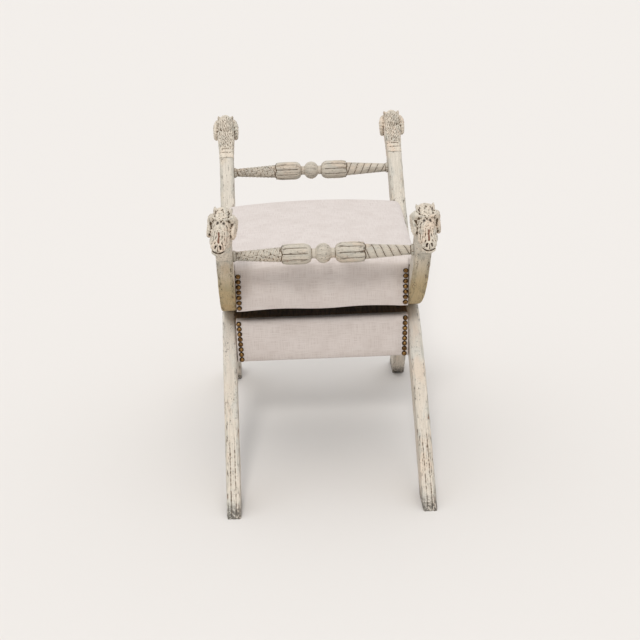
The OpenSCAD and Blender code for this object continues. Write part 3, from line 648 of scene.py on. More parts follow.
MIDDLE_STROKES = [
    ([(1.5, 25, 14), (0.5, 32, 11), (0, 39, 8)], 2.3, 1.6, 0.3, 1),
    ([(0, 44, 6.5), (0, 50, 1.5), (0, 53, -4)], 0.9, 1.5, 0.7, 0),
    ([(-4, 15, 17), (0, 16.5, 18), (4, 15, 17)], 0.9, 0.8, 0.1, 0),
    ([(0, -7.5, 24), (0, -15, 21)], 1.0, 1.4, 0.5, 0),
]


def make_head():
    """Near right ram's head: lumps, horns and ears in one skin, then cut with carving strokes."""
    parts = []
    for (x, f, h), *form in LUMPS:
        parts += [add_lump((side * x, f, h), *form) for side in ((1, -1) if x else (1,))]
    horn = horn_sections()
    other = [[(2.0 * HEAD_X - x, y, z) for x, y, z in ring] for ring in horn]
    for rings in (horn, other, ear_sections(1), ear_sections(-1), neck_sections()):
        parts.append(drawn_out("part", rings))
    only(*parts)
    bpy.ops.object.join()
    piece = named(bpy.context.active_object, "ram_head_right_near")
    one_skin(piece, HEAD_VOXEL, soften=2)
    points = points_of(piece)
    normals = normals_of(piece)
    stain_and_shade = np.zeros((len(points), 3))
    strokes = [(on_side(line, side), *cut) for side in (1, -1) for line, *cut in SIDE_STROKES]
    for line, width, depth, dark, red in strokes + MIDDLE_STROKES:
        points, near = stroke(points, normals, line, width, depth)
        # The dark stain along each carved groove is partly painted shade and partly dark paint and dirt.
        stain_and_shade[:, 0] = np.maximum(stain_and_shade[:, 0], near * dark)
        stain_and_shade[:, 1] = np.maximum(stain_and_shade[:, 1], near * red)
    set_points(piece, mane_locks(piece, points))
    roughen(piece, FINE_WORK, 1.5)
    roughen(piece, GRIT, 0.8)
    points = points_of(piece)
    keep_value(piece, "grain", points[:, [0, 2, 1]] * MM)
    keep_value(piece, "stain_and_shade", stain_and_shade)
    mark_relief(piece, turns=12)
    return piece


def mane_locks(piece, points):
    """Wavy locks on the crown and down the back of the neck, and a carved ring above the joint."""
    x, f, h = head_axes(points)
    mask = smooth_step(-f, -2.0, 6.0) * smooth_step(h, -60.0, -48.0)
    mask *= (1.0 - smooth_step(np.abs(x), 16.0, 19.0)) * (1.0 - smooth_step(h, 12.0, 18.0))
    wave = x * 0.85 + 1.7 * np.sin(h * 0.20 + f * 0.12) + 0.9 * np.sin(h * 0.43 + x * 0.3)
    lock = np.abs(np.sin(wave)) ** 0.6
    curl = 0.5 * np.sin(h * 0.62 + 2.0 * np.sin(x * 0.35))
    ring = np.exp(-((h + 57.0) / 1.4) ** 2) + np.exp(-((h + 65.0) / 1.2) ** 2)
    push = mask * ((lock - 0.65) * 1.5 + 0.8 * curl) - ring * smooth_step(-f, -20.0, -8.0)
    return points + normals_of(piece) * push[:, None]


NOD_LOW = 60.0


def bend_head(piece, nod, yaw):
    """Nods the head forward and turns its face outward by a few degrees, from the neck up."""
    points = points_of(piece)
    x, f, h = head_axes(points)
    share = smooth_step(h, -68.0, -14.0)
    turn = share * radians(yaw)
    x, f = x * np.cos(turn) + f * np.sin(turn), f * np.cos(turn) - x * np.sin(turn)
    lean = share * radians(nod)
    rise = h + NOD_LOW
    f, h = f * np.cos(lean) + rise * np.sin(lean), rise * np.cos(lean) - f * np.sin(lean) - NOD_LOW
    set_points(piece, np.stack(head_place(x, f, h), axis=1))


# Seat upholstery: one linen cloth folded over the pad, the ends and the sides
SEAT_HALF_W = 161.3
SIDE_ROLL = 11.0
SEAT_HALF_L = 189.0
END_ROLL = 17.0
SEAT_TOP = 387.3
END_CROWN = 7.0
MIDDLE_CROWN = 3.0
CROWN_HALF = 150.0
NEAR_HALF_W = 151.5
FILLET_COVER = 160.8
END_DRAW = 0.13
END_IN = 146.2
NOTCH_Y = 184.4
HEM_LIFT = 0.7
SIDE_DROP = 64.0
END_LOW = 293.0
EDGE_PAD = 3.5
END_PAD = 7.6
TOP_COLUMNS = 26
TUCK_R = 5.5
HEM_DRAW = 1.3
TUCK_FLAT = 0.55
GRID_STEP = 5.6


def across_stops():
    """Columns of the seat cloth from the middle outwards: (kind, value)."""
    stops = [("top", END_IN * i / TOP_COLUMNS) for i in range(TOP_COLUMNS + 1)]
    stops += [("shoulder", 0.0)]
    stops += [("roll", 18.0 * i) for i in range(1, 6)]
    return stops + [("drop", i / 12) for i in range(1, 13)]


def along_stops():
    """Rows of the seat cloth from the middle outwards."""
    stops = [("top", (SEAT_HALF_L - END_ROLL) * i / 30) for i in range(31)]
    notch = math.degrees(math.asin((NOTCH_Y - SEAT_HALF_L + END_ROLL) / END_ROLL))
    angles = (notch / 4, notch / 2, notch * 0.75, notch, 58.0, 69.0, 80.0, 90.0)
    stops += [("roll", angle) for angle in angles]
    stops += [("drop", i / 14) for i in range(1, 15)]
    stops += [("under", angle) for angle in (25.0, 50.0, 75.0, 100.0)]
    return stops + [("tuck", 4.0), ("tuck", 8.0)]


def board_y(z):
    """Distance of the leaning end board's outer face from the centre."""
    return DECK_HALF - (DECK_Z - z) * LEAN_RUN


def end_profile(kind, value, x):
    """(distance out, height) of the seat cloth at an end row."""
    flat = SEAT_HALF_L - END_ROLL
    if kind == "top":
        return value, SEAT_TOP
    if kind == "roll":
        a = radians(value)
        return flat + END_ROLL * sin(a), SEAT_TOP - END_ROLL * (1.0 - cos(a))
    inside = ease(END_IN - abs(x), 9.0, 26.0)
    roll_low = SEAT_TOP - END_ROLL
    wave = 2.6 * (0.5 - 0.5 * cos(tau * (x / END_IN + 1.0))) * inside
    low = END_LOW + wave + 1.5 * inside
    if kind == "drop":
        z = roll_low + (low - roll_low) * value
        start = SEAT_HALF_L - board_y(roll_low)
        pad = start + (END_PAD - start) * ease(value, 0.0, 0.35) - HEM_DRAW * ease(value, 0.75, 1.0)
        edge_pad = start + (EDGE_PAD - start) * ease(value, 0.0, 0.12)
        return board_y(z) + edge_pad + (pad - edge_pad) * inside, z
    centre_y = board_y(low) + EDGE_PAD + (END_PAD - HEM_DRAW - EDGE_PAD) * inside - TUCK_R
    a = radians(value if kind == "under" else 100.0)
    tucked = value if kind == "tuck" else 0.0
    return centre_y + TUCK_R * cos(a) - tucked, low - TUCK_R * sin(a) * TUCK_FLAT


def shoulder(y):
    """Half-width of the seat's shoulders: narrower at the near end."""
    return NEAR_HALF_W + (SEAT_HALF_W - NEAR_HALF_W) * ease(y, -230.0, 110.0)


def make_seat():
    """Linen seat cloth: a grid folded over the crowned pad, down the ends and down the sides."""
    columns = across_stops()
    rows = along_stops()
    wide = len(columns) - 1
    long = len(rows) - 1
    piece = new_grid("seat_upholstery", 2 * wide, 2 * long)
    notch_row = next(i for i, (kind, value) in enumerate(rows) if kind == "roll" and 45.0 < value < 50.0)
    shape = bmesh.new()
    shape.from_mesh(piece.data)
    flat_name = shape.verts.layers.float_vector.new("cloth")
    soft_name = shape.verts.layers.float.new("soft")
    doomed = []
    for corner in shape.verts:
        i = round(corner.co.x * wide)
        j = round(corner.co.y * long)
        side = 1.0 if i >= 0 else -1.0
        end = 1.0 if j >= 0 else -1.0
        kind_x, value_x = columns[abs(i)]
        kind_y, value_y = rows[abs(j)]
        outside = abs(i) > TOP_COLUMNS
        beyond = outside and abs(j) > notch_row
        row = min(abs(j), notch_row) if outside else abs(j)
        row_y = end * end_profile(*rows[row], 0.0)[0]
        half = shoulder(row_y)
        x_flat = max(END_IN + 0.6, half - SIDE_ROLL)
        wide_half = max(half, FILLET_COVER)
        late = 1.0 + (SEAT_HALF_W - half) / (SEAT_HALF_W - NEAR_HALF_W)
        out, drop = 0.0, 0.0
        if kind_x == "top":
            x = value_x
        elif kind_x == "shoulder":
            x = x_flat
        elif kind_x == "roll":
            a = radians(value_x)
            x = x_flat + (wide_half - x_flat) * sin(a) ** late
            drop = SIDE_ROLL * (1.0 - cos(a))
            out = value_x / 90.0
        else:
            x = wide_half + (SEAT_HALF_W - wide_half) * value_x
            drop = SIDE_ROLL
            out = 1.0 - value_x
        y, z = end_profile(*rows[row], x)
        y *= 1.0 - END_DRAW * out * out * ease(y, 90.0, NOTCH_Y)
        z -= drop
        low = arm_inner_z(y) + HEM_LIFT if outside else 0.0
        if kind_x == "drop":
            top = z
            z = top + (low - top) * value_x
            x += 1.2 * sin(pi * value_x) * ease(top - low, 4.0, 40.0)
        across_share = max(0.0, 1.0 - (x / CROWN_HALF) ** 2)
        if kind_y in ("top", "roll"):
            z += across_share * (END_CROWN + MIDDLE_CROWN * max(0.0, 1.0 - (y / SEAT_HALF_L) ** 2))
        if kind_y == "drop":
            z += across_share * END_CROWN * (1.0 - ease(value_y, 0.0, 0.5))
        if beyond:
            deeper = abs(j) - notch_row
            z += (min(z, low) - z) * min(1.0, deeper / 3.0)
            if deeper > 3:
                doomed.append(corner)
        free = 1.0
        if kind_x == "drop":
            free = sin(pi * value_x)
        if kind_y == "drop":
            free *= sin(pi * min(1.0, 0.5 + value_y / 2.0)) * ease(END_IN - x, 8.0, 30.0)
        if kind_y in ("under", "tuck") or beyond:
            free = 0.0
        corner[soft_name] = free
        corner[flat_name] = Vector((i * GRID_STEP, j * GRID_STEP, 0.0)) * MM
        corner.co = Vector((side * x, end * y, z)) * MM
    bmesh.ops.delete(shape, geom=doomed, context="VERTS")
    split = []
    for face in shape.faces:
        xs = [abs(v.co.x) / MM for v in face.verts]
        if min(xs) < END_IN + 0.5 < max(xs) and max(abs(v.co.y) / MM for v in face.verts) > NOTCH_Y + 0.3:
            split.append(face)
    bmesh.ops.delete(shape, geom=split, context="FACES")
    shape.to_mesh(piece.data)
    shape.free()
    set_cloth_places(piece, columns, rows)
    return piece


def distances(places):
    """Distances along a line of places, from its start."""
    total = [0.0]
    for before, after in zip(places, places[1:]):
        total.append(total[-1] + math.dist(before, after))
    return total


def side_profile(kind, value):
    """(distance out, height) of the seat cloth at a column."""
    if kind == "top":
        return value, 0.0
    flat = SEAT_HALF_W - SIDE_ROLL
    if kind == "shoulder":
        return flat, 0.0
    if kind == "roll":
        return flat + SIDE_ROLL * sin(radians(value)), SIDE_ROLL * cos(radians(value)) - SIDE_ROLL
    return SEAT_HALF_W, -SIDE_ROLL - value * SIDE_DROP


def set_cloth_places(piece, columns, rows):
    """Replaces the even cloth places by true distances along the folded cloth."""
    wide = distances([side_profile(*stop) for stop in columns])
    long = distances([end_profile(*stop, 0.0) for stop in rows])
    for item in piece.data.attributes["cloth"].data:
        i, j = (round(value / (GRID_STEP * MM)) for value in item.vector[:2])
        item.vector = (math.copysign(wide[abs(i)], i) * MM, math.copysign(long[abs(j)], j) * MM, 0.0)


CLOTH_FRAMES = 20
CLOTH_SETTINGS = {
    "quality": 6, "mass": 0.25, "tension_stiffness": 25.0, "compression_stiffness": 25.0,
    "shear_stiffness": 12.0, "bending_stiffness": 2.0, "use_pressure": True,
    "vertex_group_mass": "nailed",
}


def puff(piece, pressure, cap):
    """Fills a cloth from behind with Cloth pressure, keeps its nailed places and caps its swelling."""
    start = points_of(piece)
    free = values_of(piece, "soft")
    only(piece)
    pins = piece.vertex_groups.new(name="nailed")
    for index, value in enumerate(free):
        pins.add([index], max(0.0, 1.0 - float(value) * 1.4), "REPLACE")
    cloth = piece.modifiers.new("Cloth", "CLOTH")
    for name, value in CLOTH_SETTINGS.items():
        setattr(cloth.settings, name, value)
    cloth.settings.effector_weights.gravity = 0.0
    cloth.settings.uniform_pressure_force = pressure
    cloth.collision_settings.use_collision = False
    cloth.collision_settings.use_self_collision = False
    scene = bpy.context.scene
    for step in range(1, CLOTH_FRAMES + 1):
        scene.frame_set(step)
    bpy.ops.object.modifier_apply(modifier=cloth.name)
    scene.frame_set(1)
    piece.vertex_groups.clear()
    moved = points_of(piece) - start
    size = np.linalg.norm(moved, axis=1)
    keep = cap * np.tanh(size / cap) / np.maximum(size, 1e-6) * smooth_step(free, 0.0, 0.5)
    set_points(piece, start + moved * keep[:, None])


def pucker(piece, places, reach, depth, inward):
    """Draws the cloth in round each nail, along the inward direction of that nail."""
    points = points_of(piece)
    for place in places:
        away = np.linalg.norm(points - np.array(place), axis=1)
        pull = depth * np.exp(-(away / reach) ** 2)
        points = points + np.array(inward(place))[None, :] * pull[:, None]
    set_points(piece, points)


def solid_centres(node_name):
    """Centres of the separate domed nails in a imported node, in millimetres."""
    shape = bmesh.new()
    shape.from_mesh(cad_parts[node_name].data)
    bmesh.ops.remove_doubles(shape, verts=shape.verts, dist=1e-6)
    seen = set()
    centres = []
    for corner in shape.verts:
        if corner.index in seen:
            continue
        group = []
        heap = [corner]
        seen.add(corner.index)
        while heap:
            group.append(heap.pop())
            linked = [edge.other_vert(group[-1]) for edge in group[-1].link_edges]
            fresh = [other for other in linked if other.index not in seen]
            seen.update(other.index for other in fresh)
            heap += fresh
        centres.append(sum((at.co for at in group), Vector()) / len(group) / MM)
    shape.free()
    return centres


def clear_of_arms(piece, gap=0.5):
    """Lifts any cloth that has come into the arms' wood back to just above it."""
    points = points_of(piece)
    for index, (x, y, z) in enumerate(points):
        if abs(x) > ARM_IN - 0.3 and abs(y) < 260.0:
            low = arm_inner_z(abs(y)) + gap
            if z < low:
                points[index, 2] = low
    set_points(piece, points)


# Apron panels
APRON_TOP = 260.6
APRON_LOW = 184.3
APRON_SIDE = 149.2
APRON_PAD = 7.6
APRON_ROLL = 13.0
APRON_EDGE_LOW = ((124.6, 10.5), (123.2, 7.2), (121.6, 4.2), (119.8, 1.8), (117.4, 0.3), (112.0, 0.0))


def make_apron_panel():
    """Near apron panel: linen over wadding, turned over at the top and folded under at the bottom."""
    front = APRON_HALF + APRON_PAD
    profile = [(103.0, APRON_TOP - 0.6), (108.0, APRON_TOP - 0.2)]
    for angle in (90.0, 76.0, 62.0, 48.0, 34.0, 20.0, 8.0):
        a = radians(angle)
        rolled = APRON_TOP - APRON_ROLL * (1.0 - sin(a))
        profile.append((front - APRON_ROLL * (1.0 - cos(a)), rolled))
    first, last = APRON_TOP - APRON_ROLL - 3.0, APRON_LOW + 14.0
    profile += [(front, first + (last - first) * i / 11) for i in range(12)]
    profile += [(y, APRON_LOW + z) for y, z in APRON_EDGE_LOW]
    rows = len(profile) - 1
    along = distances(profile)
    piece = new_grid("apron_linen_near", 56, rows)
    shape = bmesh.new()
    shape.from_mesh(piece.data)
    flat_name = shape.verts.layers.float_vector.new("cloth")
    soft_name = shape.verts.layers.float.new("soft")
    for corner in shape.verts:
        x = corner.co.x * APRON_SIDE
        j = round((1.0 - corner.co.y) / 2.0 * rows)
        y, z = profile[j]
        inside = ease(APRON_SIDE - abs(x), 9.0, 24.0)
        swell = sin(pi * (APRON_TOP - z) / (APRON_TOP - APRON_LOW))
        if y > APRON_HALF:
            edge_pad = EDGE_PAD if APRON_LOW + 1.0 < z < APRON_TOP - 5.0 else min(y - APRON_HALF, EDGE_PAD)
            y = APRON_HALF + edge_pad + (y - APRON_HALF - edge_pad) * inside
        corner[soft_name] = inside * max(0.0, swell) ** 0.5
        corner[flat_name] = Vector((x, along[j], 0.0)) * MM
        corner.co = Vector((x, -y, z)) * MM
    shape.to_mesh(piece.data)
    shape.free()
    middle = max(piece.data.polygons, key=lambda face: -abs(face.center.x) - abs(face.center.z - 0.225))
    if middle.normal.y > 0:
        piece.data.flip_normals()
    return piece


def rgb(*parts):
    """A colour as the eye names it, from 0 to 255, in the renderer's own scale."""
    shares = [part / 255.0 for part in parts]
    return tuple([((c + 0.055) / 1.055) ** 2.4 if c > 0.04 else c / 12.92 for c in shares] + [1.0])


class Nodes:
    """Short calls that add and wire nodes in one node tree."""

    def __init__(self, tree):
        self.tree = tree

    def wire(self, value, socket):
        """Feeds a socket from another one, or with a constant."""
        if isinstance(value, bpy.types.NodeSocket):
            self.tree.links.new(value, socket)
        else:
            socket.default_value = value

    def put(self, kind, wires=None, **settings):
        """Adds a node, sets it up and wires its inputs, by name or number."""
        new = self.tree.nodes.new(kind)
        for name, value in settings.items():
            setattr(new, name, value)
        for name, value in (wires or {}).items():
            self.wire(value, new.inputs[name])
        return new

    def mix(self, share, first, second, how="MIX"):
        """Mixes two colours by a share."""
        return self.put("ShaderNodeMix", {0: share, 6: first, 7: second}, data_type="RGBA",
                        blend_type=how).outputs[2]

    def ranged(self, value, low, high, out_low=0.0, out_high=1.0):
        """Maps a value from one range to another, and stays inside it."""
        wires = {"Value": value, "From Min": low, "From Max": high, "To Min": out_low, "To Max": out_high}
        return self.put("ShaderNodeMapRange", wires, interpolation_type="SMOOTHSTEP").outputs[0]

    def calc(self, how, first, second=0.0):
        """One sum on two values."""
        return self.put("ShaderNodeMath", {0: first, 1: second}, operation=how).outputs[0]

    def times(self, first, second):
        """Two values multiplied."""
        return self.calc("MULTIPLY", first, second)

    def noise(self, vector, stretch, scale, detail=3.0, rough=0.55):
        """Noise on places that are stretched first, along the grain where one number is given."""
        stretch = stretch if isinstance(stretch, tuple) else (1.0, stretch, 1.0)
        wide = self.put("ShaderNodeVectorMath", {0: vector, 1: stretch}, operation="MULTIPLY").outputs[0]
        wires = {"Vector": wide, "Scale": scale, "Detail": detail, "Roughness": rough}
        return self.put("ShaderNodeTexNoise", wires).outputs["Fac"]

    def split(self, vector):
        """The three parts of a vector, as X, Y and Z."""
        return self.put("ShaderNodeSeparateXYZ", {0: vector}).outputs

    def stored(self, name, part="Vector"):
        """A piece's own stored attribute."""
        return self.put("ShaderNodeAttribute", attribute_name=name).outputs[part]


def new_material(name):
    """A node material: (material, its short calls, its shader)."""
    material = bpy.data.materials.new(name)
    material.use_nodes = True
    return material, Nodes(material.node_tree), material.node_tree.nodes["Principled BSDF"]


def dress(nodes, shader, height, strength, distance, sockets):
    """Gives a shader its bump and its other sockets."""
    bump = nodes.put("ShaderNodeBump", {"Height": height, "Strength": strength, "Distance": distance})
    nodes.wire(bump.outputs["Normal"], shader.inputs["Normal"])
    for name, value in sockets.items():
        nodes.wire(value, shader.inputs[name])


def new_group(name, takes, gives):
    """A node group with named sockets."""
    tree = bpy.data.node_groups.new(name, "ShaderNodeTree")
    for label, kind, start in takes:
        socket = tree.interface.new_socket(name=label, in_out="INPUT", socket_type=kind)
        socket.default_value = start
    for label, kind in gives:
        tree.interface.new_socket(name=label, in_out="OUTPUT", socket_type=kind)
    return Nodes(tree), tree.nodes.new("NodeGroupInput").outputs, tree.nodes.new("NodeGroupOutput").inputs


def worn_paint_group():
    """Old ivory paint: washed patches, grime in the hollows, chips on the arrises, cracks and specks."""
    nodes, takes, gives = new_group(
        "worn_paint",
        [("Grain", "NodeSocketVector", (0.0, 0.0, 0.0)), ("Relief", "NodeSocketFloat", 0.0),
         ("Paint", "NodeSocketColor", rgb(214, 204, 186)), ("Wash", "NodeSocketColor", rgb(190, 190, 180)),
         ("Warm", "NodeSocketColor", rgb(216, 196, 172)), ("Chips", "NodeSocketFloat", 1.0),
         ("Grime", "NodeSocketFloat", 1.0)],
        [("Color", "NodeSocketColor"), ("Roughness", "NodeSocketFloat"), ("Height", "NodeSocketFloat")])
    place = takes["Grain"]
    large = nodes.noise(place, 0.4, 42.0)
    warm = nodes.noise(place, 0.5, 26.0)
    color = nodes.mix(nodes.ranged(large, 0.50, 0.66, 0.0, 0.8), takes["Paint"], takes["Wash"])
    color = nodes.mix(nodes.ranged(warm, 0.50, 0.64, 0.0, 0.8), color, takes["Warm"])
    streak = nodes.noise(place, 0.06, 480.0, 2.0)
    color = nodes.mix(nodes.ranged(streak, 0.35, 0.7, 0.0, 0.22), color, rgb(140, 132, 118))
    edge = nodes.ranged(takes["Relief"], 0.05, 0.30)
    edge_wash = nodes.times(edge, nodes.ranged(nodes.noise(place, 0.15, 130.0), 0.42, 0.6))
    color = nodes.mix(nodes.times(edge_wash, 0.5), color, rgb(166, 164, 154))
    hollow = nodes.ranged(takes["Relief"], -0.04, -0.34)
    dirt = nodes.times(nodes.times(hollow, takes["Grime"]), nodes.ranged(large, 0.2, 0.6, 0.6, 1.0))
    color = nodes.mix(dirt, color, rgb(92, 76, 58))
    chip_noise = nodes.noise(place, 0.42, 400.0, 3.0, 0.65)
    spread = nodes.noise(place, 0.3, 55.0, 2.0)
    edge_noise = nodes.noise(place, 0.16, 330.0, 4.0, 0.7)
    edge_chip = nodes.times(nodes.times(edge, nodes.ranged(edge_noise, 0.55, 0.60)),
                            nodes.ranged(spread, 0.36, 0.50, 0.25, 1.0))
    field_chip = nodes.times(nodes.ranged(chip_noise, 0.62, 0.66), nodes.ranged(spread, 0.46, 0.58))
    crack_noise = nodes.noise(place, 0.05, 340.0, 2.0)
    crack = nodes.ranged(nodes.calc("ABSOLUTE", nodes.calc("SUBTRACT", crack_noise, 0.5)), 0.014, 0.0)
    crack = nodes.times(crack, nodes.ranged(nodes.noise(place, 0.3, 70.0), 0.48, 0.60))
    speck = nodes.ranged(nodes.noise(place, 0.8, 900.0, 1.0), 0.70, 0.74)
    chipped = nodes.calc("MAXIMUM", edge_chip, field_chip)
    loss = nodes.calc("MAXIMUM", chipped, nodes.calc("MAXIMUM", crack, speck))
    loss = nodes.calc("MINIMUM", nodes.times(loss, takes["Chips"]), 1.0)
    under = nodes.mix(nodes.ranged(nodes.noise(place, 1.0, 90.0), 0.54, 0.64),
                      rgb(84, 75, 63), rgb(124, 84, 62))
    color = nodes.mix(nodes.times(loss, 0.85), color, under)
    nodes.wire(color, gives["Color"])
    rough = nodes.calc("ADD", 0.62, nodes.times(chip_noise, 0.3))
    nodes.wire(rough, gives["Roughness"])
    height = nodes.calc("SUBTRACT", nodes.times(streak, 0.25), loss)
    nodes.wire(height, gives["Height"])
    return nodes.tree


def painted(name, paint, wash, warm, chips=1.0, grime=1.0, under_face_shade=None, stained_and_shaded=False, top=None):
    """A painted-wood material from the worn paint group, with dark scuffed feet near the floor; a top
    colour adds painted light to the upper part, an under-face shade adds painted shade to the outer and
    under faces, and stains add groove darkening that is partly painted shade.
    """
    material, nodes, shader = new_material(name)
    grain = nodes.stored("grain")
    wires = {"Grain": grain, "Relief": nodes.stored("relief", "Fac"), "Paint": paint, "Wash": wash,
             "Warm": warm, "Chips": chips, "Grime": grime}
    worn = nodes.put("ShaderNodeGroup", wires, node_tree=WORN_PAINT)
    color = worn.outputs["Color"]
    if stained_and_shaded:
        stain_and_shade = nodes.split(nodes.stored("stain_and_shade"))
        color = nodes.mix(nodes.ranged(stain_and_shade["Y"], 0.25, 0.75, 0.0, 0.85), color, rgb(112, 66, 46))
        # Dark stain in the carved grooves: partly painted shade, partly dark paint and dirt.
        color = nodes.mix(nodes.ranged(stain_and_shade["X"], 0.20, 0.75, 0.0, 0.92), color, rgb(46, 34, 26))
    place = nodes.put("ShaderNodeTexCoord").outputs["Object"]
    height = nodes.split(place)["Z"]
    # Painted light: the upper part is screened lighter with the top colour, as if lit where the arms shade
    # it.
    if top:
        color = nodes.mix(nodes.ranged(height, 0.15, 0.24, 0.0, 0.7), color, top, "SCREEN")
    # Painted shade: the outer and under faces are darkened and tinted, more so lower down; the tint is
    # partly the paint's own olive tone.
    if under_face_shade:
        deep = nodes.ranged(nodes.split(grain)["Z"], 0.004, 0.016)
        deep = nodes.times(deep, nodes.ranged(height, 0.44, 0.34, 0.1, 0.95))
        color = nodes.mix(deep, color, under_face_shade, "MULTIPLY")
    scuff = nodes.ranged(nodes.noise(place, (1.0, 1.0, 0.5), 330.0, 3.0, 0.7), 0.35, 0.56)
    low = nodes.times(nodes.ranged(height, 0.028, 0.006), scuff)
    color = nodes.mix(nodes.times(low, 0.85), color, rgb(70, 66, 60))
    dress(nodes, shader, worn.outputs["Height"], 0.35, 0.0006, {
        "Base Color": color, "Roughness": worn.outputs["Roughness"], "Specular IOR Level": 0.3})
    return material


def weave_group():
    """Plain-woven linen with thick and thin threads both ways."""
    nodes, takes, gives = new_group(
        "linen_weave",
        [("Cloth", "NodeSocketVector", (0.0, 0.0, 0.0)), ("Flax", "NodeSocketColor", rgb(226, 217, 211)),
         ("Slub", "NodeSocketColor", rgb(193, 178, 168)), ("Amount", "NodeSocketFloat", 0.6)],
        [("Color", "NodeSocketColor"), ("Height", "NodeSocketFloat")])
    place = takes["Cloth"]
    across = nodes.noise(place, 0.045, 900.0, 2.0)
    along = nodes.noise(place, (0.045, 1.0, 1.0), 900.0, 2.0)
    tone = nodes.noise(place, 1.0, 24.0, 2.0)
    threads = nodes.calc("ADD", nodes.ranged(across, 0.34, 0.66, -0.45, 0.45),
                         nodes.ranged(along, 0.34, 0.66, -0.55, 0.55))
    share = nodes.times(nodes.ranged(threads, -0.2, 1.0), takes["Amount"])
    color = nodes.mix(share, takes["Flax"], takes["Slub"])
    color = nodes.mix(nodes.ranged(tone, 0.4, 0.65, 0.0, 0.18), color, takes["Slub"])
    nodes.wire(color, gives["Color"])
    warp, weft = [nodes.put("ShaderNodeTexWave", {"Vector": place, "Scale": 320.0},
                            bands_direction=axis).outputs["Fac"] for axis in "XY"]
    height = nodes.calc("ADD", nodes.times(warp, weft), nodes.times(threads, 0.5))
    nodes.wire(height, gives["Height"])
    return nodes.tree


def linen(name, flax, slub):
    """A linen material from the weave group."""
    material, nodes, shader = new_material(name)
    wires = {"Cloth": nodes.stored("cloth"), "Flax": flax, "Slub": slub}
    weave = nodes.put("ShaderNodeGroup", wires, node_tree=LINEN_WEAVE)
    dress(nodes, shader, weave.outputs["Height"], 0.25, 0.0003, {
        "Base Color": weave.outputs["Color"], "Roughness": 0.9, "Specular IOR Level": 0.2,
        "Sheen Weight": 0.15, "Sheen Roughness": 0.5})
    return material


def patterned(name, first, second, scale, roughness, metallic=0.0, stretch=1.0, rim_shade_axis=None):
    """A two-toned material on Object coordinates, with painted shade darkening the rim about an axis where
    one is named.
    """
    material, nodes, shader = new_material(name)
    coordinates = nodes.put("ShaderNodeTexCoord").outputs
    mottled = nodes.noise(coordinates["Object"], stretch, scale, 4.0, 0.6)
    color = nodes.mix(nodes.ranged(mottled, 0.38, 0.62), first, second)
    if rim_shade_axis:
        # Painted shade: the sides of each dome, turned away from its axis, darken to a rim shadow.
        facing = nodes.calc("ABSOLUTE", nodes.split(coordinates["Normal"])[rim_shade_axis])
        color = nodes.mix(nodes.ranged(facing, 0.55, 0.93), rgb(26, 18, 12), color)
    dress(nodes, shader, mottled, 0.4, 0.0003, {
        "Base Color": color, "Roughness": roughness, "Metallic": metallic})
    return material


WORN_PAINT = worn_paint_group()
LINEN_WEAVE = weave_group()
# The arms' under-face colour is painted shade, partly the paint's own olive tone.
ARM_PAINT = painted("arm_paint", rgb(211, 203, 190), rgb(195, 192, 183), rgb(206, 191, 170),
                    under_face_shade=rgb(226, 209, 170))
# The legs' top colour is painted light on the leg tops.
LEG_PAINT = painted("leg_paint", rgb(215, 205, 191), rgb(206, 203, 194), rgb(216, 200, 182),
                    grime=1.6, top=rgb(120, 122, 122))
HEAD_PAINT = painted("head_paint", rgb(220, 209, 193), rgb(203, 199, 187), rgb(222, 202, 182),
                     0.8, 1.1, stained_and_shaded=True)
RAIL_PAINT = painted("rail_paint", rgb(198, 189, 175), rgb(180, 177, 167), rgb(205, 188, 169), 1.1, 1.4)
SEAT_LINEN = linen("seat_linen", rgb(212, 203, 198), rgb(184, 171, 164))
BRONZE = (rgb(88, 62, 36), rgb(150, 116, 70), 260.0, 0.34, 0.9)
# The nails' dark rims are painted shade.
NAIL_BRONZE = patterned("nail_bronze", *BRONZE, rim_shade_axis="Y")
SIDE_BRONZE = patterned("side_nail_bronze", *BRONZE, rim_shade_axis="X")
SCREW_STEEL = patterned("screw_steel", rgb(140, 138, 132), rgb(168, 166, 160), 400.0, 0.35, 1.0)
BARE_WOOD = patterned("frame_wood", rgb(112, 84, 56), rgb(142, 110, 76), 60.0, 0.7, stretch=(4.0, 0.4, 4.0))
JUTE = patterned("jute", rgb(150, 122, 84), rgb(182, 152, 110), 900.0, 0.9)
DUST_CLOTH = patterned("dust_cloth", rgb(38, 34, 32), rgb(56, 52, 50), 1200.0, 0.95)

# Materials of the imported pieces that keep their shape, by the start of the name
FINISHES = {"side_nails": SIDE_BRONZE, "end_nails": NAIL_BRONZE, "apron_nails": NAIL_BRONZE,
            "seat_screws": SCREW_STEEL, "webbing": JUTE, "hessian": JUTE,
            "seat_dust": DUST_CLOTH, "apron_dust": DUST_CLOTH}
for piece_name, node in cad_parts.items():
    finish = next((FINISHES[start] for start in FINISHES if piece_name.startswith(start)), BARE_WOOD)
    node.data.materials.clear()
    node.data.materials.append(finish)

# Each quarter: its name, whether it is mirrored across and along, and its head's nod and turn
QUARTERS = [("left_near", True, False, -3.0, 9.0), ("right_far", False, True, 3.0, 2.0),
            ("left_far", True, True, 0.0, 1.0), ("right_near", False, False, 3.0, 3.0)]
GRAIN_SHIFT = (0.41, 0.73, 0.0)


def place_quarters(piece, stem, material, bent=False):
    """Copies a near right piece to the four quarters, each with its wear pattern moved."""
    for step, (where, across, along, nod, yaw) in enumerate(QUARTERS, 1):
        copy = copied(piece, "painted_" + stem + "_" + where)
        if bent:
            bend_head(copy, nod, yaw)
        mirror(copy, across, along)
        grain = rows_of(copy.data.attributes["grain"].data, "vector")
        keep_value(copy, "grain", grain + np.array(GRAIN_SHIFT) * step)
        finish_piece(copy, material, [stem + "_" + where])
    bpy.data.objects.remove(piece)


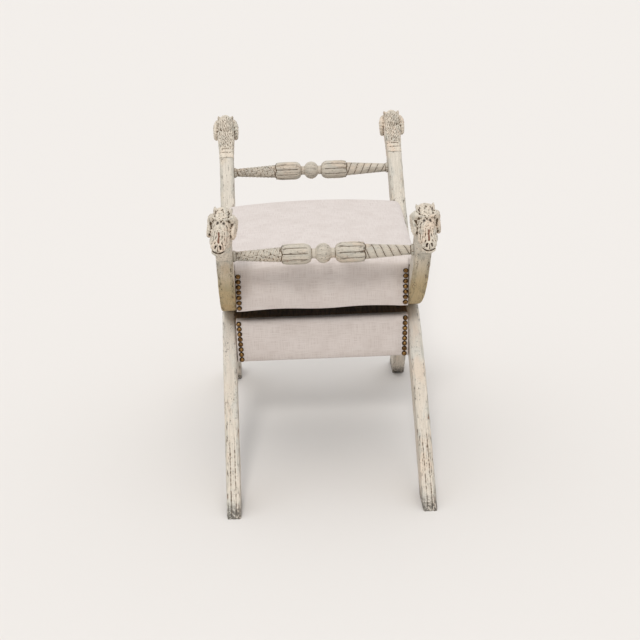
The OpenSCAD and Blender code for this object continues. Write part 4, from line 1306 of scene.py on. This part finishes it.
place_quarters(make_arm(), "arm", ARM_PAINT)
place_quarters(make_leg(), "leg", LEG_PAINT)
place_quarters(make_head(), "ram_head", HEAD_PAINT, bent=True)

rail = make_rail()
far_rail = copied(rail, "painted_cross_rail_far")
mirror(far_rail, False, True)
finish_piece(far_rail, RAIL_PAINT, ["cross_rail_far"])
rail.name = "painted_cross_rail_near"
finish_piece(rail, RAIL_PAINT, ["cross_rail_near"])

seat = make_seat()
puff(seat, pressure=3.0, cap=3.0)
apply_modifier(seat, "SUBSURF", levels=1, render_levels=1)
clear_of_arms(seat)


def end_inward(place):
    """Inward direction of a nail in an end panel."""
    return (0.0, -math.copysign(cos(BOARD_LEAN), place[1]), sin(BOARD_LEAN))


def side_inward(place):
    """Inward direction of a nail in the seat's side."""
    return (-math.copysign(1.0, place[0]), 0.0, 0.0)


for end in ("near", "far"):
    pucker(seat, solid_centres("end_nails_" + end), reach=6.0, depth=0.5, inward=end_inward)
for side in ("left", "right"):
    pucker(seat, solid_centres("side_nails_" + side), reach=5.0, depth=1.2, inward=side_inward)
apply_modifier(seat, "SOLIDIFY", thickness=LINEN_THICK * MM, offset=-1.0)
finish_piece(seat, SEAT_LINEN, ["seat_cover", "seat_pad", "end_panel_near", "end_panel_far",
                                "side_border_left", "side_border_right"])

panel = make_apron_panel()
puff(panel, pressure=2.0, cap=1.5)
apply_modifier(panel, "SUBSURF", levels=1, render_levels=1)
apply_modifier(panel, "SOLIDIFY", thickness=LINEN_THICK * MM, offset=-1.0)
far_panel = copied(panel, "apron_linen_far")
mirror(far_panel, False, True)
for linen_panel, end in ((panel, "near"), (far_panel, "far")):
    finish_piece(linen_panel, SEAT_LINEN, ["apron_panel_" + end])


DUST_SAG = 2.2
DUST_THICK = 0.5
DUST_DROP = 0.2


def dust_sheet(node_name):
    """A thin black cloth with a slight sag, tacked under a frame."""
    low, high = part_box(node_name)
    piece = new_grid("tacked_" + node_name, 24, 24)
    centre = (Vector(low) + Vector(high)) / 2
    half = (Vector(high) - Vector(low)) / 2
    for corner in piece.data.vertices:
        x, y = corner.co.x, corner.co.y
        sag = DUST_SAG * MM * (1.0 - x * x) * (1.0 - y * y)
        corner.co = Vector((centre.x + x * half.x, centre.y + y * half.y, high[2] - DUST_DROP * MM - sag))
    piece.data.update()
    apply_modifier(piece, "SOLIDIFY", thickness=DUST_THICK * MM, offset=-1.0)
    finish_piece(piece, DUST_CLOTH, [node_name])


dust_sheet("seat_dust_cover")
dust_sheet("apron_dust_cover")

# Floor, camera and soft studio light
bpy.ops.mesh.primitive_plane_add(size=40.0, location=(0.0, 0.0, 0.0))
floor = bpy.context.active_object
floor.name = "studio_floor"
floor_paint, _, floor_shader = new_material("studio_floor")
floor_shader.inputs["Base Color"].default_value = rgb(222, 218, 214)
floor_shader.inputs["Roughness"].default_value = 0.8
floor.data.materials.append(floor_paint)

CAMERA_AT = Vector((-0.0962, -3.1633, 1.2689))
YAW, PITCH, ROLL = 0.0304, 0.3210, -0.0294
forward = Vector((sin(YAW) * cos(PITCH), cos(YAW) * cos(PITCH), -sin(PITCH)))
level = Vector((cos(YAW), -sin(YAW), 0.0))
upward = level.cross(forward)
camera_x = level * cos(ROLL) + upward * sin(ROLL)
camera_y = -level * sin(ROLL) + upward * cos(ROLL)
bpy.ops.object.camera_add(location=CAMERA_AT)
camera = bpy.context.active_object
turn = Matrix((camera_x, camera_y, -forward)).transposed()
camera.matrix_world = Matrix.Translation(CAMERA_AT) @ turn.to_4x4()
camera.data.sensor_width = 36.0
camera.data.lens = 104.06
camera.data.clip_end = 100.0
bpy.context.scene.camera = camera

# Light from the sky by direction: brighter from above, from behind and from the left
SKY_SLOPE = (-0.06, 0.28, 0.42)
SKY_LEVEL = 0.62


def far_light(name, at, watts, angle, tint=(1.0, 1.0, 1.0)):
    """A soft even light from far away, aimed at the bench from a place."""
    bpy.ops.object.light_add(type="SUN", location=at)
    lamp = bpy.context.active_object
    lamp.name = name
    lamp.data.energy = watts
    lamp.data.angle = radians(angle)
    lamp.data.color = tint
    lamp.rotation_mode = "QUATERNION"
    lamp.rotation_quaternion = (-Vector(at)).to_track_quat("-Z", "Y")


far_light("window_light", (-0.4, -3.2, 2.3), 1.22, 9.0, (1.0, 0.985, 0.965))
far_light("roof_light", (0.2, -1.2, 3.0), 0.3, 40.0)

world = bpy.data.worlds.new("studio")
bpy.context.scene.world = world
world.use_nodes = True
sky = world.node_tree.nodes["Background"]
sky_nodes = Nodes(world.node_tree)
toward = sky_nodes.put("ShaderNodeTexCoord").outputs["Generated"]
slope = sky_nodes.put("ShaderNodeVectorMath", {0: toward, 1: SKY_SLOPE}, operation="DOT_PRODUCT")
sky_nodes.wire(sky_nodes.calc("ADD", slope.outputs["Value"], SKY_LEVEL), sky.inputs["Strength"])
sky.inputs["Color"].default_value = (1.0, 1.0, 1.0, 1.0)
bpy.context.scene.view_settings.view_transform = "Standard"
